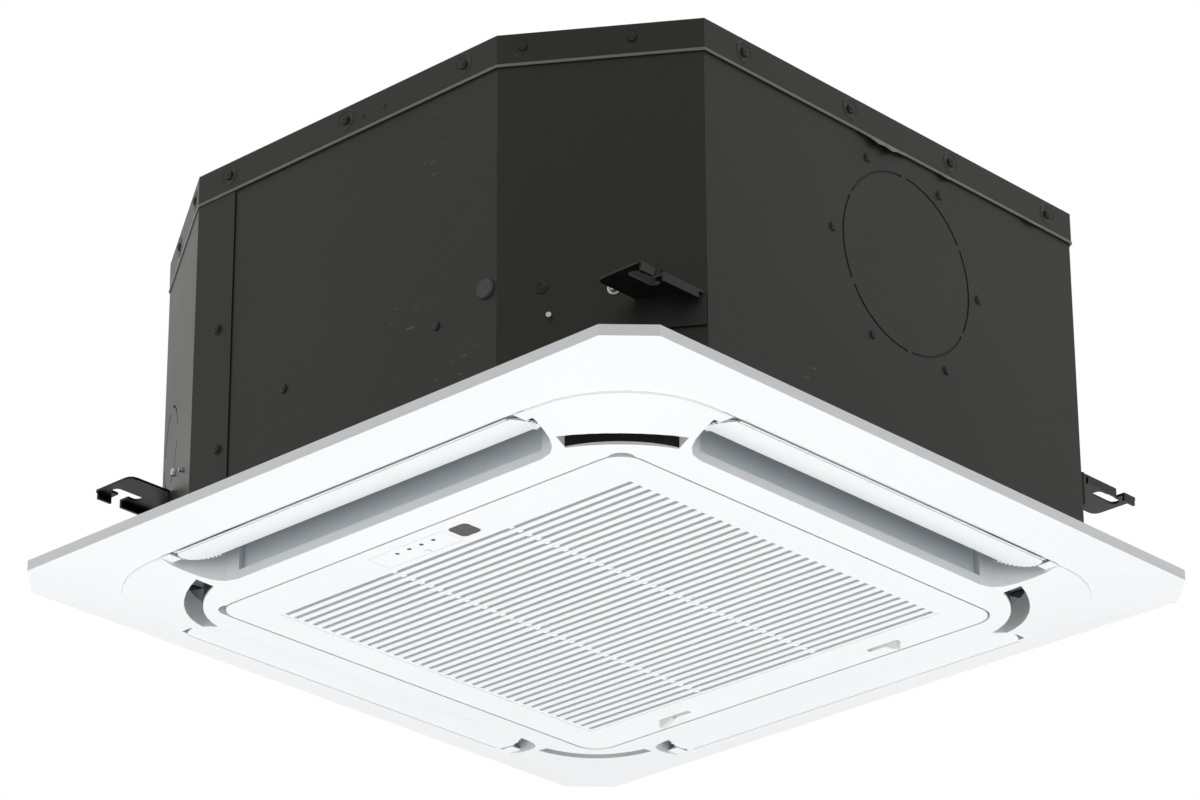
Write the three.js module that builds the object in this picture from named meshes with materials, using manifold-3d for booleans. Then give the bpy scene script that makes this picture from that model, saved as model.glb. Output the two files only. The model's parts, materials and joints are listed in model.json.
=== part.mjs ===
// A four-way ceiling cassette air conditioner of the compact class, in millimetres, +Z up.
// The origin is the middle of the ceiling plane, which is the upper face of the white panel's rim.
// The body stands above it in the ceiling void, and the display side of the panel is -Y.
import * as THREE from "three";
import { mergeVertices } from "three/addons/utils/BufferGeometryUtils.js";
import Module from "manifold-3d";

const wasm = await Module();
wasm.setup();

// ---- Clearances ----
const GAP = 0.3; // between pieces that touch
const RUN = 0.5; // between pieces that move past each other

// ---- Panel: white domed frame under the ceiling ----
const PANEL_HALF = 323.5;
const PANEL_CHAMFER = 29.5;
const RIM_HEIGHT = 8.4;
const RIM_LAND = 12; // width of the flat upper edge that lies against the ceiling
const SKIN = 2; // panel wall
const LEDGE_HALF = 285;
const LEDGE_RADIUS = 87;
const LEDGE_DROP = 8; // from the rim's bottom to the ledge
const LEDGE_STEP = 1.7;
const OUTLET_DROP = 10; // from the ledge to the outlets' inner edges
const OPENING_DROP = 2.6; // from there to the opening
const LEDGE_Z = -(RIM_HEIGHT + LEDGE_DROP);
const DOME_Z = LEDGE_Z - LEDGE_STEP;
const OUTLET_Z = DOME_Z - OUTLET_DROP;
const FACE_Z = OUTLET_Z - OPENING_DROP;
const OPENING_HALF = 211;
const OPENING_RADIUS = 21;
const OPENING_WALL_TOP = -6;
const HINGE_CORNER = 22; // side of the tighter corners at the display side
const HINGE_CORNER_RADIUS = 14;
const DUCT_TOP = 8; // upper end of the panel's air ducts

// ---- Air outlets in the panel, seen as the one on the -Y side ----
const OUTLET_HALF = 187; // half length along the outer edge
const OUTLET_INNER_HALF = 156; // half length of the straight inner edge
const OUTLET_INNER = 235; // distance of the inner edge from the middle
const OUTLET_END_STRAIGHT = 11;
const LIP_HEIGHT = 7.3;
const LIP_SETBACK = 5;

// ---- Corner slots ----
const SLOT_CENTRE = 155;
const SLOT_RADIUS = 86;
const SLOT_WIDTH = 14.5;
const SLOT_START = 17.5; // degrees from the side's direction
const SLOT_SLEEVE_TOP = -5;

// ---- Intake grille ----
const GRILLE_EDGE_GAP = 1.75;
const GRILLE_SKIN = 2.5;
const GRILLE_RIM_HEIGHT = 8.7;
const GRILLE_RIM_WALL = 2;
const LOUVRE_HALF = 178; // half length of the slots along X
const LOUVRE_START = -167;
const LOUVRE_PITCH = 9.54;
const LOUVRE_COUNT = 36;
const LOUVRE_SLOT = 4;
const LOUVRE_DEPTH = 6.5;
const LOUVRE_RECESS = 0.8;
const LOUVRE_BORDER = 5;
const BRIDGE_X = 60;
const BRIDGE_WIDTH = 5;
const BRIDGE_DEPTH = 2.5;

// ---- Grille hinge, at the display side ----
const HINGE_X = 118;
const HINGE_INSET = 13.5; // from the opening's edge to the hinge axis
const HINGE_RISE = 6; // from the grille's face to the hinge axis
const HINGE_PIN = 2.2;
const HINGE_BORE = 2.8;
const HINGE_ARM_WIDTH = 8;
const HINGE_EYE = 2.6; // radius of the eye and half the arm's depth
const HINGE_LUG = 3;

// ---- Latches, at the far side of the grille ----
const LATCH_X = 108;
const LATCH_Y = 194.5;
const LATCH_SLOT_LENGTH = 31;
const LATCH_SLOT_WIDTH = 5;
const LATCH_KNOB_LENGTH = 13;
const LATCH_KNOB_DROP = 6.6;
const LATCH_KNOB_THIN = 1.6;
const LATCH_PLATE_LENGTH = 44;
const LATCH_PLATE_WIDTH = 9;
const LATCH_PLATE = 2.4;

// ---- Display on the grille's near band ----
const DISPLAY_X = -18.3;
const DISPLAY_Y = -186.25;
const DISPLAY_LENGTH = 76.6;
const DISPLAY_WIDTH = 22.5;
const WINDOW_X = 33.6;
const WINDOW_Y = -187.8;
const WINDOW_SIDE = 18.6;
const WINDOW_RADIUS = 4;
const LIGHT_FIRST_X = -32.9;
const LIGHT_PITCH = 12.4;
const LIGHT_COUNT = 4;
const LIGHT_Y = -190.6;
const LIGHT_DIAMETER = 3.5;
const BUTTON_X = -12.9;
const BUTTON_Y = -178.6;
const BUTTON_DIAMETER = 5;
const BUTTON_TRAVEL = 0.8;
const BOARD = 1.6;

// ---- Flaps ----
const FLAP_AXIS = 279.8; // distance of the pivot axis from the middle
const FLAP_AXIS_Z = -13.5;
const FLAP_OUTER = 282.7; // outer edge at rest
const FLAP_OUTER_Z = -18.4;
const FLAP_TILT = 12; // degrees that the inner edge stands above the outer one at rest
const FLAP_CHORD = 34;
const FLAP_THICKNESS = 2;
const FLAP_CAMBER = 1.6;
const FLAP_WIDEST_HALF = OUTLET_HALF - 11; // half length across the pivots
const FLAP_OUTER_HALF = FLAP_WIDEST_HALF - 6.6;
const FLAP_INNER_HALF = FLAP_WIDEST_HALF - 15;
const FLAP_PIN = 3;
const FLAP_BORE = 3.8;
const FLAP_EAR = 2.4;

// ---- Flap motors ----
const FLAP_MOTOR_DIAMETER = 20;
const FLAP_MOTOR_LENGTH = 14;
const FLAP_MOTOR_INSET = 10.8; // from the flap axis to the motor's middle, towards the centre
const FLAP_MOTOR_RISE = 11.5;
const GEAR_CASE = 3.2;
const GEAR_CASE_RADIUS = 2.9;

// ---- Air filter ----
const FILTER_HALF = 186;
const FILTER_THICKNESS = 3;
const FILTER_FRAME = 8;
const FILTER_CELLS = 5;
const FILTER_RIB = 1.6;

// ---- Body in the ceiling void ----
const BODY_HALF = 285; // over the top plate's flange
const BODY_BOTTOM = 16.6;
const BODY_TOP = 290.8;
const FLANGE_HEIGHT = 26.2;
const TOP_SHEET = 1.1;
const SHEET = 1;
const FRONT_CORNER_X = BODY_HALF - 126; // where the -Y face ends
const FRONT_CORNER_Y = BODY_HALF - 84; // where the side faces end at the front
const REAR_CORNER_X = BODY_HALF - 91;
const REAR_CORNER_Y = BODY_HALF - 60.5;
const CASING_LIP = 12;
const LINER = 12;

// ---- Knock-outs, plugs and holes in the casing ----
const KNOCKOUT_Y = 21.8;
const KNOCKOUT_Z = 174.1;
const KNOCKOUT_DIAMETER = 146.5;
const KNOCKOUT_SLIT = 2;
const KNOCKOUT_SLITS = 6;
const KNOCKOUT_ARC = 56; // degrees of each slit
const KNOCKOUT_SCREW_CIRCLE = 168;
const KNOCKOUT_SCREW_HOLE = 4;
const PLUG_X = FRONT_CORNER_X - 11;
const PLUG_Z = 90.6;
const PLUG_DIAMETER = 16.7;
const CHAMFER_PLUG_ALONG = 32;
const CHAMFER_PLUG_Z = 85.6;
const CHAMFER_PLUG_HOLE = 10;

// ---- Pipe cover plate on the piping corner ----
const COVER_SEAM_X = -BODY_HALF + 167;
const COVER_REAR_Y = -BODY_HALF + 135;
const COVER_BOTTOM = 19;
const COVER_SHEET = 0.7;
const SMALL_KNOCKOUT_ALONG = 110; // along the chamfer from its -X end
const SMALL_KNOCKOUT_Z = 111.6;
const SMALL_KNOCKOUT_DIAMETER = 67;

// ---- Hanging brackets ----
const BRACKET_Z = 69.6; // underside
const BRACKET_SHEET = 2;
const BRACKET_INNER_X = BODY_HALF - 43;
const BRACKET_SLOT_X = BODY_HALF - 16;
const BRACKET_FRONT_Y = BODY_HALF - 35;
const BRACKET_REAR_Y = BODY_HALF - 12;
const BRACKET_SLOT_LENGTH = 28;
const BRACKET_SLOT_WIDTH = 9;
const BRACKET_END = 20; // from the slot's middle to the plate's outer end
const BRACKET_CORNER = 7;
const BRACKET_LIP = 5;
const BRACKET_ENTRANCE = 10;
const BRACKET_TAB = 24; // drop of the tab on the casing, below the plate

// ---- Inside the body ----
const PAN_TOP = 58;
const PAN_FLOOR = 34; // floor of the trough under the coil
const DUCT_INNER = 236; // air duct in the body, from the middle to its inner wall
const DUCT_OUTER = 271;
const DUCT_HALF = 166;
const COIL_HALF = BODY_HALF - 61;
const COIL_DEPTH = 32;
const COIL_CORNER = 46;
const COIL_BOTTOM = PAN_FLOOR + GAP;
const COIL_TOP = 262;
const COIL_END = COIL_HALF - 74; // where the two legs stop at the piping corner
const HEADER_BOTTOM = 68;
const HEADER_OFFSET = 14; // from the end plate to the pipe's middle
const HEADER_STUBS = 5;
const HEADER_STUB = 8;
const HEADER_PITCH = 38;
const HEADER_END = 16; // from the pipe's lower end to the first stub
const TROUGH_MARGIN = 5;
const FAN_RADIUS = 158;
const BELL_SEAT_RADIUS = FAN_RADIUS + 24;
const BELL_RADIUS = FAN_RADIUS - 24; // throat
const BELL_TOP = 78;
const BELL_SHEET = 2;
const FAN_BOTTOM = 72;
const FAN_TOP = 204;
const FAN_BLADES = 7;
const FAN_BLADE = 3;
const FAN_BACK = 3;
const FAN_SHROUD_RADIUS = FAN_RADIUS - 20;
const FAN_BLADE_ROOT = 22; // from the hub
const FAN_BLADE_BEND = 34;
const FAN_BLADE_SWEEP = 48; // how far the tips lag behind the roots
const FAN_BLADE_REACH = 0.88; // share of the radius
const FAN_HUB_CLEARANCE = 3.5;
const FAN_HUB_BOTTOM = 156;
const SHAFT_DIAMETER = 12;
const MOTOR_DIAMETER = 116;
const MOTOR_BOTTOM = 168;
const MOTOR_TOP = 262;
const SHAFT_TOP = 190;
const MOUNT_PLATE_HALF = 105;
const MOUNT_PLATE = 2;
const PUMP_AT = BODY_HALF - 85; // distance of the drain pump from both middle planes
const PUMP_DIAMETER = 44;
const PUMP_HEIGHT = 66;
const PUMP_BRACKET = 1.5;
const PUMP_BRACKET_RISE = 4;
const PUMP_PLATE_TAIL = 27.5; // reaches of the pump's plate from the pump, outwards and inwards
const PUMP_PLATE_HEAD = 34;
const PUMP_PLATE_TIP = 9; // half width at the tail
const PUMP_PLATE_HALF = 20;
const PUMP_PLATE_WING = 31; // reach sideways, over the float
const PUMP_PLATE_WING_LENGTH = 32;
const PUMP_LEG = 6;
const PUMP_LEG_OUT = 16.5;
const PUMP_LEG_IN = 21;
const FLOAT_STEM = 5;
const FLOAT_DIAMETER = 18;
const FLOAT_TRAVEL = 12;
const FLOAT_ASIDE = 8; // place of the float from the pump
const FLOAT_ALONG = 28;
const DRAIN_PLUG_DIAMETER = 14;
const DRAIN_PLUG_Y = 130; // how far towards -Y it is
const END_PLATE = 1.5;
const GAS_PIPE = 12.7;
const GAS_NUT = { flats: 26, length: 20 };
const LIQUID_NUT = { flats: 17, length: 16 };
const LIQUID_PIPE = 6.35;
const PIPE_EXIT_X = -BODY_HALF - 23;
const GAS_Y = -PUMP_AT + 32;
const GAS_Z = 150;
const LIQUID_Y = GAS_Y;
const LIQUID_Z = 205;
const DRAIN_PIPE = 25;
const DRAIN_Y = -PUMP_AT + 60;
const DRAIN_Z = 238;
const DRAIN_TURN_X = -BODY_HALF + 38;
const CONTROL_HALF = 128;
const CONTROL_NEAR_Y = 158;
const CONTROL_FAR_Y = 204;
const CONTROL_BOTTOM = -8;
const CONTROL_SHEET = 1.2;
const CIRCUIT_Z = 6;
const CIRCUIT_MARGIN = 6;
const CIRCUIT_LENGTH = 156;
const TERMINAL_START = 52; // place of the terminal block along X
const TERMINAL_WAYS = 5;
const TERMINAL_PITCH = 11;
const TERMINAL_WALL = 1.6;
const TERMINAL_MARGIN = 12;
const TERMINAL_BASE = 7; // height of the block's base and of its walls' lower ends
const TERMINAL_LOW = -1;
const SCREW_X = 152;
const SCREW_Y = 199;
const SCREW_DIAMETER = 5;
const SCREW_TAB = 3;

// ---- Finishes ----
const finishes = {
  white: [0xe9edee, 0.35, 0],
  offWhite: [0xdfe3e2, 0.5, 0],
  smoke: [0x101214, 0.15, 0],
  casing: [0x3a3c36, 0.5, 0.4],
  casingDark: [0x2b2c29, 0.5, 0.4],
  bracket: [0x1d1d1c, 0.45, 0.5],
  foam: [0x8f9aa0, 0.9, 0],
  foamWhite: [0xd8dcdd, 0.85, 0],
  fins: [0xb9bdc0, 0.4, 0.8],
  copper: [0xb8733e, 0.35, 0.9],
  brass: [0xb89a52, 0.35, 0.9],
  steel: [0xa9adb0, 0.35, 0.9],
  plastic: [0xb4b8ba, 0.5, 0],
  dark: [0x26282a, 0.6, 0],
  board: [0x2f5d43, 0.5, 0],
};

const UP = new THREE.Vector3(0, 0, 1);
const unit = new THREE.Group();

// ---- Solids ----

// A closed geometry whose faces share their vertices, as a solid that can be joined and cut.
function solidFromShared(geometry) {
  return new wasm.Manifold(
    new wasm.Mesh({
      numProp: 3,
      vertProperties: geometry.attributes.position.array,
      triVerts: new Uint32Array(geometry.index.array),
    }),
  );
}

function solid(geometry) {
  const bare = geometry.clone();
  bare.deleteAttribute("normal");
  bare.deleteAttribute("uv");
  return solidFromShared(mergeVertices(bare, 1e-4));
}

function geometryOf(body) {
  const made = body.getMesh();
  const places = new Float32Array(made.numVert * 3);
  for (let i = 0; i < made.numVert; i++) {
    places.set(made.vertProperties.subarray(i * made.numProp, i * made.numProp + 3), i * 3);
  }
  const geometry = new THREE.BufferGeometry();
  geometry.setAttribute("position", new THREE.BufferAttribute(places, 3));
  geometry.setIndex(new THREE.BufferAttribute(made.triVerts, 1));
  return geometry;
}

// The solid moved by a matrix, with its faces turned round where the matrix mirrors.
function placed(body, matrix) {
  const geometry = geometryOf(body).applyMatrix4(matrix);
  if (matrix.determinant() < 0) geometry.index.array.reverse();
  return solidFromShared(geometry);
}

const turned = (body, degrees) =>
  placed(body, new THREE.Matrix4().makeRotationZ(THREE.MathUtils.degToRad(degrees)));

const shifted = (body, x, y, z) => placed(body, new THREE.Matrix4().makeTranslation(x, y, z));

const mirrored = (body, x, y) => placed(body, new THREE.Matrix4().makeScale(x, y, 1));

function join(first, ...others) {
  return others.reduce((whole, other) => whole.add(other), first);
}

function cut(first, ...tools) {
  return tools.reduce((whole, tool) => whole.subtract(tool), first);
}

// Adds a named mesh made from a solid to the unit, and returns it to be placed.
function add(name, body, finish) {
  const geometry = geometryOf(body);
  geometry.computeVertexNormals();
  const [color, roughness, metalness] = finishes[finish];
  const mesh = new THREE.Mesh(
    geometry,
    new THREE.MeshStandardMaterial({ color, roughness, metalness }),
  );
  mesh.name = name;
  unit.add(mesh);
  return mesh;
}

// Copies of a solid at each of the four sides of the unit.
function onFourSides(body) {
  return join(...[0, 90, 180, 270].map((degrees) => turned(body, degrees)));
}

function box(x0, x1, y0, y1, z0, z1) {
  const geometry = new THREE.BoxGeometry(x1 - x0, y1 - y0, z1 - z0);
  geometry.translate((x0 + x1) / 2, (y0 + y1) / 2, (z0 + z1) / 2);
  return solid(geometry);
}

// An outline in X and Y, extruded from z0 to z1.
function prism(shape, z0, z1, curveSegments = 3) {
  const geometry = new THREE.ExtrudeGeometry(shape, {
    depth: z1 - z0,
    bevelEnabled: false,
    curveSegments,
  });
  geometry.translate(0, 0, z0);
  return solid(geometry);
}

// An outline in Y and Z, extruded along X from x0 to x1.
function prismAlongX(shape, x0, x1, curveSegments = 4) {
  const geometry = new THREE.ExtrudeGeometry(shape, {
    depth: x1 - x0,
    bevelEnabled: false,
    curveSegments,
  });
  geometry.rotateX(Math.PI / 2);
  geometry.rotateZ(Math.PI / 2);
  geometry.translate(x0, 0, 0);
  return solid(geometry);
}

// An outline in X and Z, extruded along Y from y0 to y1.
function prismAlongY(shape, y0, y1, curveSegments = 4) {
  const geometry = new THREE.ExtrudeGeometry(shape, {
    depth: y1 - y0,
    bevelEnabled: false,
    curveSegments,
  });
  geometry.rotateX(Math.PI / 2);
  geometry.translate(0, y1, 0);
  return solid(geometry);
}

// A round rod between two points.
function rod(diameter, from, to, segments = 16) {
  const start = new THREE.Vector3(...from);
  const along = new THREE.Vector3(...to).sub(start);
  const geometry = new THREE.CylinderGeometry(diameter / 2, diameter / 2, along.length(), segments);
  geometry.translate(0, along.length() / 2, 0);
  geometry.applyQuaternion(
    new THREE.Quaternion().setFromUnitVectors(
      new THREE.Vector3(0, 1, 0),
      along.clone().normalize(),
    ),
  );
  geometry.translate(start.x, start.y, start.z);
  return solid(geometry);
}

// A profile of [radius, height] points, closed on itself or on the axis, turned about Z.
function turnedProfile(points, segments = 24) {
  const closed = points[0][0] === 0 ? points : [...points, points[0]];
  const geometry = new THREE.LatheGeometry(
    closed.map(([r, z]) => new THREE.Vector2(r, z)),
    segments,
  );
  geometry.rotateX(Math.PI / 2);
  return solid(geometry);
}

// A tube of the given diameter along a smooth curve through points.
function tube(diameter, points, steps, sides = 12) {
  const section = new THREE.Shape();
  section.absarc(0, 0, diameter / 2, 0, 2 * Math.PI, false);
  const path = new THREE.CatmullRomCurve3(
    points.map((p) => new THREE.Vector3(...p)),
    false,
    "centripetal",
  );
  return solid(
    new THREE.ExtrudeGeometry(section, {
      extrudePath: path,
      steps,
      curveSegments: sides / 2,
      bevelEnabled: false,
    }),
  );
}

function polygon(points) {
  return new THREE.Shape(points.map(([x, y]) => new THREE.Vector2(x, y)));
}

// A square with round corners, centred on the origin.
function roundSquare(half, radius) {
  const shape = new THREE.Shape();
  const reach = half - radius;
  shape.absarc(reach, -reach, radius, -Math.PI / 2, 0, false);
  shape.absarc(reach, reach, radius, 0, Math.PI / 2, false);
  shape.absarc(-reach, reach, radius, Math.PI / 2, Math.PI, false);
  shape.absarc(-reach, -reach, radius, Math.PI, 1.5 * Math.PI, false);
  return shape;
}

function roundRectangle(x, y, length, width, radius) {
  const shape = new THREE.Shape();
  const dx = length / 2 - radius;
  const dy = width / 2 - radius;
  shape.absarc(x + dx, y - dy, radius, -Math.PI / 2, 0, false);
  shape.absarc(x + dx, y + dy, radius, 0, Math.PI / 2, false);
  shape.absarc(x - dx, y + dy, radius, Math.PI / 2, Math.PI, false);
  shape.absarc(x - dx, y - dy, radius, Math.PI, 1.5 * Math.PI, false);
  return shape;
}

// One level of the panel's dome: a square of 4 x (steps + 1) points with round or cut corners.
function ring(half, corner, z, cutCorner = false, steps = 8) {
  const points = [];
  for (let side = 0; side < 4; side++) {
    for (let i = 0; i <= steps; i++) {
      const t = i / steps;
      const angle = (t * Math.PI) / 2;
      const x = cutCorner ? half - corner * (1 - t) : half - corner + corner * Math.sin(angle);
      const y = cutCorner ? -half + corner * t : -half + corner - corner * Math.cos(angle);
      points.push(new THREE.Vector3(x, y, z).applyAxisAngle(UP, (side * Math.PI) / 2));
    }
  }
  return points;
}

// A closed solid through rings of equal point counts, the first one lowest.
function loft(rings) {
  const count = rings[0].length;
  const places = rings.flat().flatMap((p) => [p.x, p.y, p.z]);
  const faces = [];
  for (let level = 0; level + 1 < rings.length; level++) {
    for (let i = 0; i < count; i++) {
      const a = level * count + i;
      const b = level * count + ((i + 1) % count);
      faces.push(a, b, b + count, a, b + count, a + count);
    }
  }
  const last = (rings.length - 1) * count;
  for (let i = 1; i + 1 < count; i++) {
    faces.push(0, i + 1, i);
    faces.push(last, last + i, last + i + 1);
  }
  const geometry = new THREE.BufferGeometry();
  geometry.setAttribute("position", new THREE.Float32BufferAttribute(places, 3));
  geometry.setIndex(faces);
  return solid(geometry);
}

// ---- Panel ----

// The lower surface of the panel: levels from the opening up to the rim, each moved in by inset.
function domeLevels(inset) {
  const share = (OUTLET_INNER - OPENING_HALF) / (LEDGE_HALF - OPENING_HALF);
  const middleRadius = OPENING_RADIUS + share * (LEDGE_RADIUS - OPENING_RADIUS);
  return [
    ring(OPENING_HALF + inset, OPENING_RADIUS + inset, FACE_Z + inset),
    ring(OUTLET_INNER, middleRadius, OUTLET_Z + inset),
    ring(LEDGE_HALF - LEDGE_STEP / 4 - inset, LEDGE_RADIUS - inset, DOME_Z + inset),
    ring(LEDGE_HALF - inset, LEDGE_RADIUS - inset, LEDGE_Z + inset),
  ];
}

// The outline of the outlet on the -Y side, grown on every side.
function outletShape(grow) {
  const outer = -LEDGE_HALF - grow;
  const straight = -LEDGE_HALF + OUTLET_END_STRAIGHT;
  const inner = -OUTLET_INNER + grow;
  const end = OUTLET_HALF + grow;
  const innerEnd = OUTLET_INNER_HALF + grow / 2;
  const bulge = OUTLET_HALF - 5 + grow;
  const shape = new THREE.Shape();
  shape.moveTo(-end, outer);
  shape.lineTo(end, outer);
  shape.lineTo(end, straight);
  shape.bezierCurveTo(bulge, straight + 18, bulge - 5, inner, innerEnd, inner);
  shape.lineTo(-innerEnd, inner);
  shape.bezierCurveTo(-bulge + 5, inner, -bulge, straight + 18, -end, straight);
  return shape;
}

// The outline of the slot in the (+X, -Y) corner, grown on every side.
function slotShape(grow) {
  const inner = SLOT_RADIUS - grow;
  const outer = SLOT_RADIUS + SLOT_WIDTH + grow;
  const first = THREE.MathUtils.degToRad(SLOT_START) - grow / SLOT_RADIUS;
  const last = Math.PI / 2 - first;
  const shape = new THREE.Shape();
  shape.absarc(SLOT_CENTRE, -SLOT_CENTRE, outer, -last, -first, false);
  shape.absarc(SLOT_CENTRE, -SLOT_CENTRE, inner, -first, -last, true);
  return shape;
}

// Walls of the -Y air duct: end walls, outer wall, and an inner lip with a wall set back behind it.
function ductWalls() {
  const lipTop = OUTLET_Z + LIP_HEIGHT;
  const seam = OUTLET_INNER_HALF;
  const back = -OUTLET_INNER + LIP_SETBACK;
  const walls = cut(
    prism(outletShape(SKIN), FACE_Z, DUCT_TOP, 5),
    box(-seam, seam, -OUTLET_INNER - 1, back + 1, lipTop, DUCT_TOP + 1),
  );
  return join(
    walls,
    box(-seam, seam, -OUTLET_INNER, back + SKIN, lipTop - SKIN, lipTop),
    box(-seam - SKIN, seam + SKIN, back, back + SKIN, lipTop - SKIN, DUCT_TOP),
    ...[-1, 1].map((side) => {
      const x = side * (seam + SKIN / 2);
      return box(x - SKIN / 2, x + SKIN / 2, -OUTLET_INNER, back + SKIN, lipTop - SKIN, DUCT_TOP);
    }),
  );
}

const hingeY = -OPENING_HALF + HINGE_INSET;
const hingeZ = FACE_Z + HINGE_RISE;

// An arm that comes down from the opening's wall and carries the grille's hinge pin.
function hingeArm(x) {
  const half = HINGE_ARM_WIDTH / 2;
  const top = OPENING_WALL_TOP;
  return cut(
    join(
      box(x - half, x + half, hingeY - HINGE_EYE, hingeY + HINGE_EYE, hingeZ, top),
      box(x - half, x + half, -OPENING_HALF - SKIN, hingeY, top - SCREW_TAB, top),
      rod(2 * HINGE_EYE, [x - half, hingeY, hingeZ], [x + half, hingeY, hingeZ]),
    ),
    rod(HINGE_BORE, [x - half - 1, hingeY, hingeZ], [x + half + 1, hingeY, hingeZ]),
  );
}

const screwPlaces = [1, -1].flatMap((sx) => [1, -1].map((sy) => [sx * SCREW_X, sy * SCREW_Y]));
const SCREW_TAB_HALF = 8;

function screwTab([x, y]) {
  const outer = Math.sign(y) * (OPENING_HALF + SKIN);
  const inner = y - Math.sign(y) * SCREW_TAB_HALF;
  const low = Math.min(outer, inner);
  const high = Math.max(outer, inner);
  const top = OPENING_WALL_TOP;
  return box(x - SCREW_TAB_HALF, x + SCREW_TAB_HALF, low, high, top - SCREW_TAB, top);
}

const screwBore = SCREW_DIAMETER + 2 * GAP + 0.2;

// The square opening. Its corners at the display side are tighter, so that the grille's corners
// clear them as it swings down.
function openingPrism(grow, z0, z1) {
  const middle = OPENING_HALF - HINGE_CORNER / 2;
  const side = HINGE_CORNER + 2 * grow;
  const radius = Math.min(HINGE_CORNER_RADIUS + grow, side / 2);
  const corners = [-1, 1].map((sign) =>
    prism(roundRectangle(sign * middle, -middle, side, side, radius), z0, z1),
  );
  return join(prism(roundSquare(OPENING_HALF + grow, OPENING_RADIUS + grow), z0, z1), ...corners);
}

function panelFrame() {
  const rim = [
    ring(PANEL_HALF, PANEL_CHAMFER, -RIM_HEIGHT, true),
    ring(PANEL_HALF, PANEL_CHAMFER, 0, true),
  ];
  const landHalf = PANEL_HALF - RIM_LAND;
  const landChamfer = PANEL_CHAMFER - RIM_LAND * (2 - Math.SQRT2);
  const hollow = [
    ring(landHalf, landChamfer, -RIM_HEIGHT + SKIN, true),
    ring(landHalf, landChamfer, 1, true),
  ];
  const above = ring(PANEL_HALF, PANEL_CHAMFER, DUCT_TOP + 1, true);
  const shell = cut(loft([...domeLevels(0), ...rim]), loft([...domeLevels(SKIN), ...hollow]));
  const wall = openingPrism(SKIN, FACE_Z, OPENING_WALL_TOP);
  const walls = join(
    wall,
    onFourSides(join(ductWalls(), prism(slotShape(SKIN), FACE_Z, SLOT_SLEEVE_TOP, 4))),
  );
  const openings = join(
    openingPrism(0, FACE_Z - 1, DUCT_TOP + 2),
    onFourSides(
      join(
        prism(outletShape(0), FACE_Z - 1, DUCT_TOP + 2, 5),
        prism(slotShape(0), FACE_Z - 1, DUCT_TOP + 2, 4),
        rod(
          FLAP_BORE,
          [-OUTLET_HALF - 2 * SKIN, -FLAP_AXIS, FLAP_AXIS_Z],
          [OUTLET_HALF + 2 * SKIN, -FLAP_AXIS, FLAP_AXIS_Z],
          10,
        ),
      ),
    ),
  );
  const inside = loft([...domeLevels(0), rim[0], above]);
  const holes = screwPlaces.map(([x, y]) =>
    rod(screwBore, [x, y, FACE_Z], [x, y, 0], 16),
  );
  const fittings = join(
    hingeArm(-HINGE_X),
    hingeArm(HINGE_X),
    ...screwPlaces.map(screwTab),
  );
  const frame = cut(join(shell, walls.intersect(inside)), openings);
  return cut(join(frame, fittings), ...holes);
}

add("panel_frame", panelFrame(), "white");

// ---- Flaps and their motors ----

const sides = ["front", "right", "rear", "left"];

// The blade's cross-section in Y and Z on the -Y side, bowed down by the camber.
function flapSection() {
  const tilt = THREE.MathUtils.degToRad(FLAP_TILT);
  const point = (along, up) => [
    -FLAP_OUTER + along * Math.cos(tilt) - up * Math.sin(tilt),
    FLAP_OUTER_Z + along * Math.sin(tilt) + up * Math.cos(tilt),
  ];
  const bow = (t) => -4 * FLAP_CAMBER * t * (1 - t);
  const steps = 6;
  const lower = [];
  const upper = [];
  for (let i = 0; i <= steps; i++) {
    const t = i / steps;
    const thick = FLAP_THICKNESS * (i === 0 || i === steps ? 0.5 : 1);
    lower.push(point(FLAP_CHORD * t, bow(t)));
    upper.push(point(FLAP_CHORD * t, bow(t) + thick));
  }
  return polygon([...lower, ...upper.reverse()]);
}

// The blade seen from above: narrower at its outer edge, round at the inner corners.
function flapOutline() {
  const y = (along) => -FLAP_OUTER + along;
  const low = y(-2);
  const shape = new THREE.Shape();
  shape.moveTo(-FLAP_OUTER_HALF, low);
  shape.lineTo(FLAP_OUTER_HALF, low);
  shape.quadraticCurveTo(FLAP_WIDEST_HALF, y(4), FLAP_WIDEST_HALF, y(12));
  shape.lineTo(FLAP_WIDEST_HALF, y(17));
  shape.quadraticCurveTo(FLAP_WIDEST_HALF - 2, y(32), FLAP_INNER_HALF, y(FLAP_CHORD));
  shape.lineTo(-FLAP_INNER_HALF, y(FLAP_CHORD));
  shape.quadraticCurveTo(-FLAP_WIDEST_HALF + 2, y(32), -FLAP_WIDEST_HALF, y(17));
  shape.lineTo(-FLAP_WIDEST_HALF, y(12));
  shape.quadraticCurveTo(-FLAP_WIDEST_HALF, y(4), -FLAP_OUTER_HALF, low);
  return shape;
}

function flap() {
  const blade = prismAlongX(flapSection(), -FLAP_WIDEST_HALF - 1, FLAP_WIDEST_HALF + 1).intersect(
    prism(flapOutline(), FACE_Z, DUCT_TOP),
  );
  const earOuter = FLAP_OUTER_HALF - 1;
  const drive = OUTLET_HALF + SKIN + GAP + GEAR_CASE - 1;
  const ears = [-1, 1].map((side) => {
    const x = side * (earOuter - FLAP_EAR / 2);
    const half = FLAP_EAR / 2;
    return box(
      x - half,
      x + half,
      -FLAP_AXIS - FLAP_PIN / 2 - 0.6,
      -FLAP_AXIS + FLAP_PIN / 2 + 1,
      FLAP_OUTER_Z + 1,
      FLAP_AXIS_Z + FLAP_PIN / 2,
    );
  });
  const pin = (from, to) =>
    rod(FLAP_PIN, [from, -FLAP_AXIS, FLAP_AXIS_Z], [to, -FLAP_AXIS, FLAP_AXIS_Z], 10);
  return join(
    blade,
    ...ears,
    pin(earOuter - FLAP_EAR, drive),
    pin(-OUTLET_HALF - SKIN, -earOuter + FLAP_EAR),
  );
}

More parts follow.
